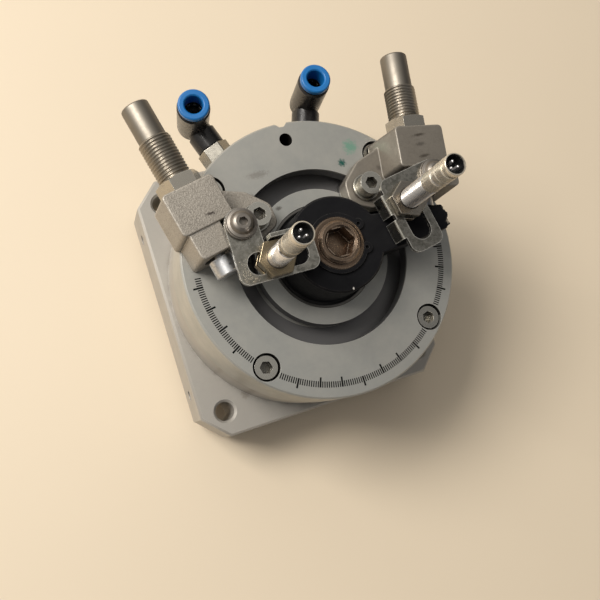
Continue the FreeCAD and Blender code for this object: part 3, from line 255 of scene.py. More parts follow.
class EffectShelf:
    """Builds each shared shader group once and hands it out."""

    GRAIN_SPAN: Point = (0.25, 0.75)
    MOTTLE_SPAN: Point = (0.3, 0.75)
    FLAKES_PER_PATCH: float = 2.7
    EDGE_PATCH_SCALE: float = 420.0
    EDGE_PATCH_SPAN: Point = (0.35, 0.62)
    RING_SPAN: Point = (0.3, 0.7)
    NOOK_SPAN: Point = (0.8, 0.25)
    SHADE_AND_DIRT_SPAN: Point = (0.3, 0.6)
    SCRATCH_WAYS: Tuple[Triple, Triple] = ((1.0, 16.0, 6.0), (14.0, 1.2, 6.0))
    SCRATCH_START: float = 0.78
    SCRATCH_REACH: float = 0.2
    SCRATCH_SOFT: float = 0.06
    SPOT_SPAN: Point = (1.0, 0.35)
    SPOT_RAGGED: float = 1.8
    SAMPLES: int = 6

    def __init__(self) -> None:
        """Start with an empty shelf."""
        self.trees: Dict[Effect, Tree] = {}

    def tree(self, effect: Effect) -> Tree:
        """Group of one effect, built at its first use.

        Args:
            effect: which effect.

        Returns:
            The group.
        """
        makers = {Effect.GRAIN: self.grain, Effect.MOTTLE: self.mottle, Effect.EDGE: self.edge,
                  Effect.RINGS: self.rings, Effect.GRIME: self.shade_and_grime, Effect.SCUFF: self.scuff,
                  Effect.BAND: self.band, Effect.SPOT: self.spot}
        if effect not in self.trees:
            self.trees[effect] = makers[effect]()
        return self.trees[effect]

    def open_group(self, effect: Effect, inputs: Dict[str, float],
                   output: str) -> Tuple[NodeBench, Dict[str, Socket]]:
        """Start a group with named inputs and one output.

        Args:
            effect: effect that names the group.
            inputs: input names with their first values.
            output: name of the value that it gives.

        Returns:
            The bench that works on it and its input sockets by name.
        """
        tree = bpy.data.node_groups.new(effect.value, "ShaderNodeTree")
        for label, value in inputs.items():
            socket = tree.interface.new_socket(label, in_out="INPUT", socket_type="NodeSocketFloat")
            socket.default_value = value
        tree.interface.new_socket(output, in_out="OUTPUT", socket_type="NodeSocketFloat")
        bench = NodeBench(tree)
        entry = bench.add("NodeGroupInput")
        return bench, {label: entry.outputs[label] for label in inputs}

    def close_group(self, bench: NodeBench, value: Socket) -> Tree:
        """Send a value to the group's output.

        Args:
            bench: bench that works on the group.
            value: socket with the effect's value.

        Returns:
            The finished group.
        """
        leave = bench.add("NodeGroupOutput")
        bench.link(value, leave.inputs[0])
        return bench.tree

    def broken(self, bench: NodeBench, share: object, kept: object) -> Socket:
        """Factor that falls from one where nothing is kept, by a share."""
        lost = bench.math("MULTIPLY", share, bench.math("SUBTRACT", 1.0, kept))
        return bench.math("SUBTRACT", 1.0, lost)

    def grain(self) -> Tree:
        """Fine even speckle, as on blasted or cast metal.

        Returns:
            The group.
        """
        bench, given = self.open_group(Effect.GRAIN, {"Size": 0.0005}, "Height")
        speckle = bench.cloud(bench.place(), bench.inverse(given["Size"]), detail=2.0)
        return self.close_group(bench, bench.span(speckle, *self.GRAIN_SPAN))

    def mottle(self) -> Tree:
        """Uneven patches, as on plated sheet or handled metal.

        Returns:
            The group.
        """
        bench, given = self.open_group(Effect.MOTTLE, {"Size": 0.004, "Break Up": 0.5}, "Mask")
        place = bench.place()
        scale = bench.inverse(given["Size"])
        soft = bench.cloud(place, scale, detail=4.0, rough=0.65)
        finer = bench.math("MULTIPLY", scale, self.FLAKES_PER_PATCH)
        flake = bench.add("ShaderNodeTexVoronoi", {"Vector": place, "Scale": finer})
        cell = bench.add("ShaderNodeSeparateColor", {0: flake.outputs["Color"]}).outputs[0]
        uneven = bench.math("MULTIPLY", bench.math("SUBTRACT", cell, 0.5), given["Break Up"])
        return self.close_group(bench, bench.span(bench.math("ADD", soft, uneven), *self.MOTTLE_SPAN))

    def edge(self) -> Tree:
        """Abraded outer edges with a painted highlight, broken up along their length.

        Returns:
            The group.
        """
        inputs = {"Radius": 0.0006, "Gain": 6.0, "Break Up": 0.5}
        bench, given = self.open_group(Effect.EDGE, inputs, "Mask")
        soft = bench.add("ShaderNodeBevel", {"Radius": given["Radius"]}, samples=self.SAMPLES)
        plain = bench.add("ShaderNodeNewGeometry").outputs["Normal"]
        likeness = bench.vector("DOT_PRODUCT", soft.outputs[0], plain).outputs[1]
        turn = bench.math("MULTIPLY", bench.math("SUBTRACT", 1.0, likeness), given["Gain"], clamp=True)
        patches = bench.cloud(bench.place(), self.EDGE_PATCH_SCALE, detail=5.0, rough=0.7)
        kept = bench.span(patches, *self.EDGE_PATCH_SPAN)
        share = self.broken(bench, given["Break Up"], kept)
        return self.close_group(bench, bench.math("MULTIPLY", turn, share, clamp=True))

    def rings(self) -> Tree:
        """Fine turning rings about the actuator's axis.

        Returns:
            The group.
        """
        bench, given = self.open_group(Effect.RINGS, {"Pitch": 0.0003}, "Height")
        along = bench.math("DIVIDE", bench.axis_distance(bench.place()), given["Pitch"])
        inputs = {"W": along, "Scale": 1.0, "Detail": 2.0}
        line = bench.add("ShaderNodeTexNoise", inputs, noise_dimensions="1D")
        return self.close_group(bench, bench.span(line.outputs[0], *self.RING_SPAN))

    def shade_and_grime(self) -> Tree:
        """Painted shade in corners and grooves, from occlusion, broken into uneven patches like soiling.

        Returns:
            The group.
        """
        inputs = {"Reach": 0.004, "Patch": 0.006, "Break Up": 1.0}
        bench, given = self.open_group(Effect.GRIME, inputs, "Mask")
        reach = {"Distance": given["Reach"]}
        # Occlusion marks where the painted shade goes.
        nook = bench.add("ShaderNodeAmbientOcclusion", reach, samples=self.SAMPLES).outputs["AO"]
        patches = bench.cloud(bench.place(), bench.inverse(given["Patch"]), detail=5.0, rough=0.65)
        share = self.broken(bench, given["Break Up"], bench.span(patches, *self.SHADE_AND_DIRT_SPAN))
        hidden = bench.span(nook, *self.NOOK_SPAN)
        return self.close_group(bench, bench.math("MULTIPLY", hidden, share, clamp=True))

    def scuff(self) -> Tree:
        """Thin scratches that run in two directions.

        Returns:
            The group.
        """
        bench, given = self.open_group(Effect.SCUFF, {"Size": 0.006, "Amount": 0.3}, "Mask")
        place = bench.place()
        scale = bench.inverse(given["Size"])
        one, two = (bench.cloud(bench.vector("MULTIPLY", place, way).outputs[0], scale, detail=3.0)
                    for way in self.SCRATCH_WAYS)
        more = bench.math("MULTIPLY", given["Amount"], self.SCRATCH_REACH)
        start = bench.math("SUBTRACT", self.SCRATCH_START, more)
        end = bench.math("ADD", start, self.SCRATCH_SOFT)
        return self.close_group(bench, bench.span(bench.math("MAXIMUM", one, two), start, end))

    def band(self) -> Tree:
        """Ring-shaped zone about the axis, below a level, where painted shade goes.

        Returns:
            The group.
        """
        bench, given = self.open_group(Effect.BAND, {"Inner": 0.02, "Outer": 0.04, "Level": 0.08}, "Mask")
        place = bench.place()
        radius = bench.axis_distance(place)
        height = bench.add("ShaderNodeSeparateXYZ", {0: place}).outputs[2]
        past = bench.math("GREATER_THAN", radius, given["Inner"])
        inside = bench.math("MULTIPLY", past, bench.math("LESS_THAN", radius, given["Outer"]))
        below = bench.math("LESS_THAN", height, given["Level"])
        return self.close_group(bench, bench.math("MULTIPLY", inside, below))

    def spot(self) -> Tree:
        """Ragged smudge round one place, seen from above.

        Returns:
            The group.
        """
        inputs = {"Across": 0.0, "Along": 0.0, "Radius": 0.002, "Patch": 0.0015, "Stretch": 1.0}
        bench, given = self.open_group(Effect.SPOT, inputs, "Mask")
        place = bench.place()
        middle = bench.add("ShaderNodeCombineXYZ", {0: given["Across"], 1: given["Along"]}).outputs[0]
        squeeze = bench.add("ShaderNodeCombineXYZ", {0: bench.inverse(given["Stretch"]), 1: 1.0}).outputs[0]
        from_middle = bench.vector("SUBTRACT", place, middle).outputs[0]
        flat = bench.vector("MULTIPLY", from_middle, squeeze).outputs[0]
        away = bench.math("DIVIDE", bench.vector("LENGTH", flat).outputs[1], given["Radius"])
        ragged = bench.cloud(place, bench.inverse(given["Patch"]), detail=4.0, rough=0.6)
        swing = bench.math("MULTIPLY", bench.math("SUBTRACT", ragged, 0.5), self.SPOT_RAGGED)
        return self.close_group(bench, bench.span(bench.math("ADD", away, swing), *self.SPOT_SPAN))


EFFECTS = EffectShelf()


@dataclass(frozen=True)
class ShadeBand:
    """Ring-shaped zone of painted shade in deep grooves and holes; millimetres about the turning axis."""

    inner: float
    outer: float
    level: float
    colour: Colour


@dataclass(frozen=True)
class Spot:
    """Smudge of ink or soil on an upper face; millimetres."""

    at: Point
    radius: float
    colour: Colour
    strength: float
    patch: float = 1.5
    stretch: float = 1.0


@dataclass(frozen=True)
class Finish:
    """Look of one kind of surface; lengths are in millimetres."""

    look: Look
    slot: Slot
    colour: Colour
    shade: Colour
    metallic: float = 1.0
    roughness: float = 0.3
    rough_swing: float = 0.08
    specular: float = 0.5
    coat: float = 0.0
    grain: float = 0.4
    grain_depth: float = 0.004
    grain_tint: float = 0.2
    mottle: float = 5.0
    mottle_tint: float = 0.35
    mottle_break: float = 0.2
    # Abraded edges with a painted highlight: amount, radius, break-up and colour.
    wear_and_highlight: float = 0.0
    wear_and_highlight_radius: float = 0.5
    wear_and_highlight_break: float = 0.5
    wear_and_highlight_colour: Colour = (0.60, 0.58, 0.54)
    # Painted shade in recesses, broken into uneven patches like soiling: amount, reach, break-up and colour.
    shade_and_grime: float = 0.0
    shade_and_grime_reach: float = 4.0
    shade_and_grime_break: float = 1.0
    shade_and_grime_colour: Colour = (0.05, 0.045, 0.037)
    rings: float = 0.0
    scuff: float = 0.0
    scuff_colour: Colour = (0.12, 0.11, 0.10)
    # Ring-shaped zones of painted shade.
    shade_bands: Tuple[ShadeBand, ...] = ()
    spots: Tuple[Spot, ...] = ()

    def material(self) -> bpy.types.Material:
        """Material with this look, built at its first use.

        Returns:
            The material.
        """
        name = self.look.value
        if name not in bpy.data.materials:
            made = bpy.data.materials.new(name)
            made.use_nodes = True
            self.lay_out(NodeBench(made.node_tree), made.node_tree.nodes["Principled BSDF"])
        return bpy.data.materials[name]

    def lay_out(self, bench: NodeBench, shader: bpy.types.Node) -> None:
        """Place and join all nodes of the material.

        Args:
            bench: bench of the material's tree.
            shader: its surface node.
        """
        grain = self.effect(bench, Effect.GRAIN, Size=self.grain * MM)
        patch = self.effect(bench, Effect.MOTTLE, Size=self.mottle * MM, Break_Up=self.mottle_break)
        tone = bench.math("ADD", bench.math("MULTIPLY", grain, self.grain_tint),
                          bench.math("MULTIPLY", patch, self.mottle_tint), clamp=True)
        clean = bench.blend(tone, rgba(self.colour), rgba(self.shade))
        # Painted shade and stains first, then abraded edges with a painted highlight.
        colour = self.worn_and_highlit(bench, shader, self.stained_and_shaded(bench, clean))
        bench.link(colour, shader.inputs["Base Color"])
        low = self.roughness - self.rough_swing
        high = self.roughness + self.rough_swing
        bench.link(bench.span(patch, 0.0, 1.0, low, high), shader.inputs["Roughness"])
        shader.inputs["Specular IOR Level"].default_value = self.specular
        shader.inputs["Coat Weight"].default_value = self.coat
        shader.inputs["Coat Roughness"].default_value = COAT_ROUGHNESS
        bench.link(self.relief(bench, grain), shader.inputs["Normal"])

    def effect(self, bench: NodeBench, effect: Effect, **values: float) -> Socket:
        """Place a shared effect in this material.

        Args:
            bench: bench of the material's tree.
            effect: which effect.
            values: its inputs, with spaces in their names written as underscores.

        Returns:
            Socket with the effect's value.
        """
        node = bench.add("ShaderNodeGroup", node_tree=EFFECTS.tree(effect))
        for key, value in values.items():
            node.inputs[key.replace("_", " ")].default_value = value
        return node.outputs[0]

    def stained_and_shaded(self, bench: NodeBench, colour: Socket) -> Socket:
        """Colour with ring-shaped zones of painted shade, ink, scuffs, and painted shade with soiling in
        recesses on it.

        Args:
            bench: bench of the material's tree.
            colour: clean colour.

        Returns:
            Socket with the colour, shaded and marked.
        """
        # Painted shade in ring-shaped zones.
        for band in self.shade_bands:
            zone = self.effect(bench, Effect.BAND, Inner=band.inner * MM, Outer=band.outer * MM,
                               Level=band.level * MM)
            colour = bench.blend(zone, colour, rgba(band.colour))
        for spot in self.spots:
            ink = self.effect(bench, Effect.SPOT, Across=spot.at[0] * MM, Along=spot.at[1] * MM,
                              Radius=spot.radius * MM, Patch=spot.patch * MM, Stretch=spot.stretch)
            colour = bench.blend(bench.math("MULTIPLY", ink, spot.strength), colour, rgba(spot.colour))
        if self.scuff:
            lines = self.effect(bench, Effect.SCUFF, Amount=self.scuff)
            faint = bench.math("MULTIPLY", lines, SCUFF_STRENGTH)
            colour = bench.blend(faint, colour, rgba(self.scuff_colour))
        # Painted shade in recesses, broken into uneven patches like soiling.
        if self.shade_and_grime:
            shade_and_dirt = self.effect(bench, Effect.GRIME, Reach=self.shade_and_grime_reach * MM, Break_Up=self.shade_and_grime_break)
            colour = bench.blend(bench.math("MULTIPLY", shade_and_dirt, self.shade_and_grime), colour, rgba(self.shade_and_grime_colour))
        return colour

    def worn_and_highlit(self, bench: NodeBench, shader: bpy.types.Node,
             colour: Socket) -> Socket:
        """Colour with abraded metal and a painted highlight along the edges; also sets how metallic the
        surface is.

        Args:
            bench: bench of the material's tree.
            shader: surface node of the material.
            colour: colour before the abrasion and the painted highlight.

        Returns:
            Socket with the abraded and highlighted colour.
        """
        shader.inputs["Metallic"].default_value = self.metallic
        if not self.wear_and_highlight:
            return colour
        rubbed_and_highlit = self.effect(bench, Effect.EDGE, Radius=self.wear_and_highlight_radius * MM, Break_Up=self.wear_and_highlight_break)
        bare_and_highlit = bench.math("MULTIPLY", rubbed_and_highlit, self.wear_and_highlight, clamp=True)
        # The edges turn less metallic so that they show a painted highlight.
        bench.link(bench.span(bare_and_highlit, 0.0, 1.0, self.metallic, HIGHLIT_EDGE_METALLIC), shader.inputs["Metallic"])
        return bench.blend(bare_and_highlit, colour, rgba(self.wear_and_highlight_colour))

    def relief(self, bench: NodeBench, grain: Socket) -> Socket:
        """Normal with the fine grain and any turning rings.

        Args:
            bench: bench of the material's tree.
            grain: height of the grain.

        Returns:
            Socket with the normal.
        """
        inputs = {"Strength": 1.0, "Distance": self.grain_depth * MM, "Height": grain}
        bump = bench.add("ShaderNodeBump", inputs)
        if self.rings:
            lines = self.effect(bench, Effect.RINGS)
            inputs = {"Strength": 1.0, "Distance": self.rings * MM, "Height": lines,
                      "Normal": bump.outputs[0]}
            bump = bench.add("ShaderNodeBump", inputs)
        return bump.outputs[0]


# In these finishes the recess mask paints shade into corners, sockets and thread roots, the edge mask adds
# abrasion with a painted highlight, and the dial's ring-shaped zones paint shade in its groove and holes.
FINISHES: Dict[Look, Finish] = {finish.look: finish for finish in (
    Finish(Look.BODY, Slot.HOUSING, (0.40, 0.376, 0.34), (0.335, 0.316, 0.285), 0.5, 0.48, 0.05,
           grain=0.25, mottle=14.0, mottle_tint=0.5, mottle_break=0.1, wear_and_highlight=0.6, wear_and_highlight_radius=0.4,
           wear_and_highlight_colour=(0.72, 0.70, 0.66), shade_and_grime=0.7, shade_and_grime_colour=(0.10, 0.085, 0.065), scuff=0.25,
           spots=(Spot((-40.5, -47.5), 2.6, (0.20, 0.17, 0.14), 0.5, 1.2),
                  Spot((-51.0, -33.0), 2.0, (0.22, 0.19, 0.16), 0.4, 1.2))),
    Finish(Look.DIAL, Slot.HOUSING, (0.43, 0.418, 0.382), (0.305, 0.31, 0.294), 0.6, 0.42, 0.06,
           grain=0.25, mottle=24.0, mottle_tint=0.9, mottle_break=0.05, wear_and_highlight=0.5, wear_and_highlight_radius=0.4,
           wear_and_highlight_colour=(0.70, 0.68, 0.64), shade_and_grime=0.35, shade_and_grime_reach=2.5, scuff=0.25,
           # Painted shade in the deep groove round the hub, and in the pin hole and screw counterbores.
           shade_bands=(ShadeBand(30.2, 42.6, 82.8, (0.14, 0.137, 0.138)),
                  ShadeBand(47.0, 60.3, 83.4, (0.02, 0.018, 0.016))),
           spots=(Spot((28.6, 44.8), 4.2, (0.12, 0.34, 0.24), 0.7),
                  Spot((22.3, 38.4), 2.2, (0.015, 0.10, 0.08), 1.0, 0.8),
                  Spot((-22.5, 31.0), 3.4, (0.12, 0.10, 0.08), 0.6),
                  Spot((-17.5, 41.5), 2.0, (0.16, 0.14, 0.12), 0.45, 0.8, 3.0),
                  Spot((-12.8, 25.0), 1.1, (0.06, 0.05, 0.045), 0.7, 0.6, 1.8))),
    Finish(Look.INK, Slot.LEVER, (0.004, 0.004, 0.004), (0.008, 0.008, 0.008), 0.0, 0.6, specular=0.1),
    Finish(Look.SHAFT, Slot.SHAFT, (0.46, 0.45, 0.43), (0.36, 0.35, 0.33), 1.0, 0.3, rings=0.004),
    Finish(Look.CASE, Slot.SHAFT, (0.20, 0.19, 0.175), (0.13, 0.125, 0.115), 1.0, 0.38, rings=0.003,
           shade_and_grime=0.4),
    Finish(Look.BEARING, Slot.BEARING, (0.55, 0.55, 0.55), (0.46, 0.46, 0.46), 1.0, 0.18),
    # Painted shade deep in the sockets, and a painted highlight on the edges.
    Finish(Look.SCREW, Slot.SCREW, (0.60, 0.58, 0.52), (0.44, 0.425, 0.38), 1.0, 0.3, 0.06,
           mottle=2.0, mottle_tint=0.5, wear_and_highlight=0.6, wear_and_highlight_radius=0.35, wear_and_highlight_colour=(0.80, 0.78, 0.72),
           shade_and_grime=1.6, shade_and_grime_break=0.3),
    Finish(Look.BUTTON, Slot.BRACKET, (0.27, 0.245, 0.217), (0.19, 0.172, 0.152), 1.0, 0.46, 0.06,
           grain=0.3, mottle=2.0, mottle_tint=0.5, wear_and_highlight=0.55, wear_and_highlight_radius=0.35,
           wear_and_highlight_colour=(0.52, 0.49, 0.45), shade_and_grime=0.6, shade_and_grime_reach=2.0, shade_and_grime_break=0.4),
    Finish(Look.BRACKET, Slot.BRACKET, (0.45, 0.43, 0.38), (0.17, 0.165, 0.143), 1.0, 0.3, 0.1,
           mottle=3.2, mottle_tint=0.9, mottle_break=0.35, wear_and_highlight=0.85, wear_and_highlight_radius=0.65, wear_and_highlight_break=0.3,
           wear_and_highlight_colour=(0.78, 0.76, 0.71), shade_and_grime=0.5, shade_and_grime_reach=3.0),
    Finish(Look.TAIL, Slot.ABSORBER, (0.235, 0.212, 0.18), (0.19, 0.171, 0.144), 1.0, 0.5, 0.04,
           grain=0.3, grain_depth=0.002, scuff=0.15),
    # Painted shade in the thread roots.
    Finish(Look.THREAD, Slot.ABSORBER, (0.36, 0.325, 0.275), (0.29, 0.262, 0.222), 1.0, 0.36, 0.05,
           grain=0.3, grain_depth=0.002, shade_and_grime=0.7, shade_and_grime_reach=0.9, shade_and_grime_break=0.15,
           shade_and_grime_colour=(0.07, 0.06, 0.048)),
    Finish(Look.LOCK_NUT, Slot.ABSORBER, (0.48, 0.445, 0.385), (0.37, 0.345, 0.30), 1.0, 0.26, 0.06,
           mottle=3.0, wear_and_highlight=0.6, wear_and_highlight_colour=(0.74, 0.71, 0.64), shade_and_grime=0.5, shade_and_grime_reach=2.0),
    Finish(Look.CAP, Slot.ABSORBER, (0.60, 0.61, 0.63), (0.40, 0.40, 0.40), 1.0, 0.4, 0.1,
           mottle=2.2, mottle_tint=0.9, mottle_break=0.4, wear_and_highlight=0.4, wear_and_highlight_colour=(0.75, 0.74, 0.70)),
    Finish(Look.BARREL, Slot.SENSOR, (0.78, 0.76, 0.75), (0.66, 0.64, 0.63), 0.8, 0.28, 0.05,
           grain=0.3, grain_depth=0.002, mottle=3.0, mottle_tint=0.15, mottle_break=0.0, wear_and_highlight=0.3,
           shade_and_grime=0.6, shade_and_grime_reach=1.2),
    # Painted shade in the thread valleys, which brings out the ridges.
    Finish(Look.FINE_THREAD, Slot.SENSOR, (0.66, 0.63, 0.60), (0.54, 0.51, 0.48), 1.0, 0.2, 0.04,
           grain=0.3, grain_depth=0.002, shade_and_grime=1.7, shade_and_grime_reach=0.9, shade_and_grime_break=0.1),
    Finish(Look.SLEEVE, Slot.SENSOR, (0.60, 0.54, 0.445), (0.50, 0.45, 0.37), 0.68, 0.26, 0.06,
           grain=0.3, grain_tint=0.1, mottle=2.2, mottle_tint=0.3, mottle_break=0.05, wear_and_highlight=0.5,
           wear_and_highlight_radius=0.3, wear_and_highlight_colour=(0.80, 0.76, 0.68), shade_and_grime=0.6, shade_and_grime_reach=1.2),
    Finish(Look.GOLD_NUT, Slot.SENSOR, (0.31, 0.245, 0.15), (0.20, 0.165, 0.117), 1.0, 0.28, 0.06,
           mottle=4.0, mottle_tint=0.7, wear_and_highlight=0.7, wear_and_highlight_colour=(0.76, 0.70, 0.58), shade_and_grime=0.4,
           shade_and_grime_reach=2.0),
    Finish(Look.GREY_NUT, Slot.SENSOR, (0.37, 0.335, 0.285), (0.26, 0.235, 0.20), 1.0, 0.28, 0.06,
           mottle=4.0, mottle_tint=0.6, wear_and_highlight=0.7, wear_and_highlight_colour=(0.72, 0.68, 0.60), shade_and_grime=0.4,
           shade_and_grime_reach=2.0),
    Finish(Look.STEM, Slot.STEM, (0.36, 0.34, 0.295), (0.29, 0.27, 0.235), 1.0, 0.28, 0.05,
           mottle=3.0, wear_and_highlight=0.5, wear_and_highlight_colour=(0.80, 0.78, 0.72)),
    Finish(Look.GRAINY_CASTING, Slot.CASTING, (0.40, 0.365, 0.315), (0.16, 0.142, 0.12), 0.5, 0.48, 0.06,
           grain=0.6, grain_depth=0.08, grain_tint=0.75, mottle=9.0, mottle_tint=0.15, mottle_break=0.1,
           wear_and_highlight=0.95, wear_and_highlight_radius=0.9, wear_and_highlight_break=0.3, wear_and_highlight_colour=(0.80, 0.76, 0.69), shade_and_grime=0.6,
           shade_and_grime_reach=3.0, spots=(Spot((-48.4, 23.8), 0.8, (0.04, 0.03, 0.025), 0.9, 0.5, 3.5),)),
    Finish(Look.SCUFFED_CASTING, Slot.CASTING, (0.212, 0.19, 0.16), (0.135, 0.12, 0.10), 0.5, 0.46, 0.06,
           grain=0.7, grain_depth=0.03, grain_tint=0.4, mottle=7.0, mottle_tint=0.45, mottle_break=0.15,
           wear_and_highlight=0.95, wear_and_highlight_radius=0.9, wear_and_highlight_break=0.3, wear_and_highlight_colour=(0.80, 0.76, 0.69), shade_and_grime=0.6,
           shade_and_grime_reach=3.0, scuff=0.6, scuff_colour=(0.09, 0.08, 0.065),
           spots=(Spot((50.4, 36.6), 0.8, (0.05, 0.04, 0.03), 0.85, 0.5, 4.5),
                  Spot((49.6, 32.4), 1.1, (0.08, 0.07, 0.06), 0.75, 0.5, 2.6),
                  Spot((49.6, 27.0), 0.8, (0.05, 0.04, 0.03), 0.8, 0.5, 4.0),
                  Spot((34.9, 30.4), 1.6, (0.07, 0.06, 0.05), 0.6, 0.7))),
    Finish(Look.LEVER, Slot.LEVER, (0.005, 0.005, 0.006), (0.009, 0.009, 0.010), 0.0, 0.5, 0.06, 0.12,
           grain=0.5, grain_depth=0.012, wear_and_highlight=0.4, wear_and_highlight_radius=0.25, wear_and_highlight_break=1.0,
           wear_and_highlight_colour=(0.30, 0.28, 0.26),
           spots=(Spot((0.4, -19.6), 0.75, (0.60, 0.57, 0.53), 1.0, 0.9, 0.7),
                  Spot((52.6, -2.6), 1.6, (0.42, 0.36, 0.28), 0.9, 0.7))),
    # Painted shade deep in the socket, and a painted highlight on the rim.
    Finish(Look.LEVER_SCREW, Slot.LEVER_SCREW, (0.27, 0.195, 0.14), (0.17, 0.122, 0.088), 1.0, 0.26, 0.07,
           mottle=2.6, mottle_tint=0.6, wear_and_highlight=0.75, wear_and_highlight_radius=0.45, wear_and_highlight_break=0.2,
           wear_and_highlight_colour=(0.60, 0.49, 0.39), shade_and_grime=1.3, shade_and_grime_reach=7.0, shade_and_grime_break=0.3,
           shade_and_grime_colour=(0.035, 0.02, 0.013)),
    Finish(Look.RUBBER, Slot.RUBBER, (0.012, 0.012, 0.012), (0.022, 0.021, 0.02), 0.0, 0.6, specular=0.3),
    Finish(Look.VANE, Slot.VANE, (0.45, 0.45, 0.45), (0.37, 0.37, 0.37), 1.0, 0.35),
    Finish(Look.ELBOW, Slot.ELBOW, (0.009, 0.008, 0.008), (0.016, 0.014, 0.013), 0.0, 0.3, 0.06, 0.4,
           coat=0.15, grain_depth=0.005),
    # Painted blue shade in the bore and corners.
    Finish(Look.RING, Slot.RING, (0.004, 0.11, 0.33), (0.009, 0.14, 0.385), 0.0, 0.36, 0.06, 0.45,
           wear_and_highlight=0.55, wear_and_highlight_radius=0.35, wear_and_highlight_break=0.4, wear_and_highlight_colour=(0.36, 0.50, 0.66), shade_and_grime=0.85,
           shade_and_grime_reach=5.0, shade_and_grime_break=0.2, shade_and_grime_colour=(0.004, 0.03, 0.13)),
    Finish(Look.PLUG, Slot.PLUG, (0.006, 0.006, 0.006), (0.011, 0.011, 0.011), 0.0, 0.3, specular=0.4),
    Finish(Look.PORT_SEAL, Slot.PORT_SEAL, (0.5, 0.5, 0.47), (0.42, 0.42, 0.39), 0.0, 0.45),
)}
USUAL: Dict[Slot, Look] = {
    Slot.HOUSING: Look.BODY, Slot.SHAFT: Look.SHAFT, Slot.BEARING: Look.BEARING, Slot.SCREW: Look.SCREW,
    Slot.BRACKET: Look.BRACKET, Slot.ABSORBER: Look.TAIL, Slot.SENSOR: Look.BARREL, Slot.STEM: Look.STEM,
    Slot.CASTING: Look.SCUFFED_CASTING, Slot.LEVER: Look.LEVER, Slot.LEVER_SCREW: Look.LEVER_SCREW,
    Slot.RUBBER: Look.RUBBER, Slot.VANE: Look.VANE, Slot.ELBOW: Look.ELBOW, Slot.RING: Look.RING,
    Slot.PLUG: Look.PLUG, Slot.PORT_SEAL: Look.PORT_SEAL,
}


def link_piece(name: str, mesh: Mesh, look: Look) -> bpy.types.Object:
    """Put a mesh into the scene as a piece with one look.

    Args:
        name: name of the piece.
        mesh: its mesh, with its place in its points.
        look: its look.

    Returns:
        The new object.
    """
    piece = bpy.data.objects.new(name, mesh)
    bpy.context.scene.collection.objects.link(piece)
    mesh.materials.clear()
    mesh.materials.append(FINISHES[look].material())
    return piece


def shade_by_angle(work: bmesh.types.BMesh) -> None:
    """Shade smooth, and mark edges that turn more than the limit as sharp.

    Args:
        work: mesh being edited.
    """
    bound = math.radians(SHARP_ANGLE)
    for face in work.faces:
        face.smooth = True
    for edge in work.edges:
        edge.smooth = len(edge.link_faces) == 2 and edge.calc_face_angle(0.0) < bound


def axis_place(origin: Vector, direction: Vector) -> Matrix:
    """Placement at an origin that lays the local Z axis along a direction."""
    turn = direction.to_track_quat("Z", "Y").to_matrix().to_4x4()
    return Matrix.Translation(origin) @ turn


def rounded(radius: float, top: float, edge: float, share: float) -> List[Point]:
    """Round between a wall and a top face, as (radius, height) points from the wall upwards.

    Args:
        radius: radius of the wall.
        top: height of the top face.
        edge: width and height of the round.
        share: distance of its inner points from wall and top, as a share of the edge.

    Returns:
        Its four points.
    """
    half = 0.5 * edge
    near = share * edge
    inner = [(radius - near, top - half), (radius - half, top - near)]
    return [(radius, top - edge), *inner, (radius - edge, top)]


def lathe(profile: Sequence[Point], place: Matrix, segments: int = 72) -> Mesh:
    """Closed turned mesh from (radius, height) points in millimetres.

    Args:
        profile: points of the outline, in order, outside upwards.
        place: placement of the turning axis.
        segments: steps round the axis.

    Returns:
        The mesh.
    """
    work = bmesh.new()
    rings: List[List[bmesh.types.BMVert]] = []
    turns = [2 * math.pi * k / segments for k in range(segments)]
    for radius, height in profile:
        wide = radius * MM
        rings.append([work.verts.new((wide * math.cos(turn), wide * math.sin(turn), height * MM))
                      for turn in turns])
    on_axis = profile[0][0] == 0.0 and profile[-1][0] == 0.0
    for i in range(len(rings) - 1 if on_axis else len(rings)):
        low, high = rings[i], rings[(i + 1) % len(rings)]
        for k in range(segments):
            j = (k + 1) % segments
            work.faces.new((low[k], low[j], high[j], high[k]))
    bmesh.ops.remove_doubles(work, verts=work.verts[:], dist=1e-7)
    bmesh.ops.recalc_face_normals(work, faces=work.faces[:])
    shade_by_angle(work)
    mesh = bpy.data.meshes.new("turned")
    work.to_mesh(mesh)
    work.free()
    mesh.transform(place)
    return mesh


def joined(name: str, meshes: Sequence[Mesh]) -> Mesh:
    """One mesh from several, which are removed.

    Args:
        name: name of the new mesh.
        meshes: meshes to join.

    Returns:
        The new mesh.
    """
    work = bmesh.new()
    for mesh in meshes:
        work.from_mesh(mesh)
        bpy.data.meshes.remove(mesh)
    whole = bpy.data.meshes.new(name)
    work.to_mesh(whole)
    work.free()
    return whole


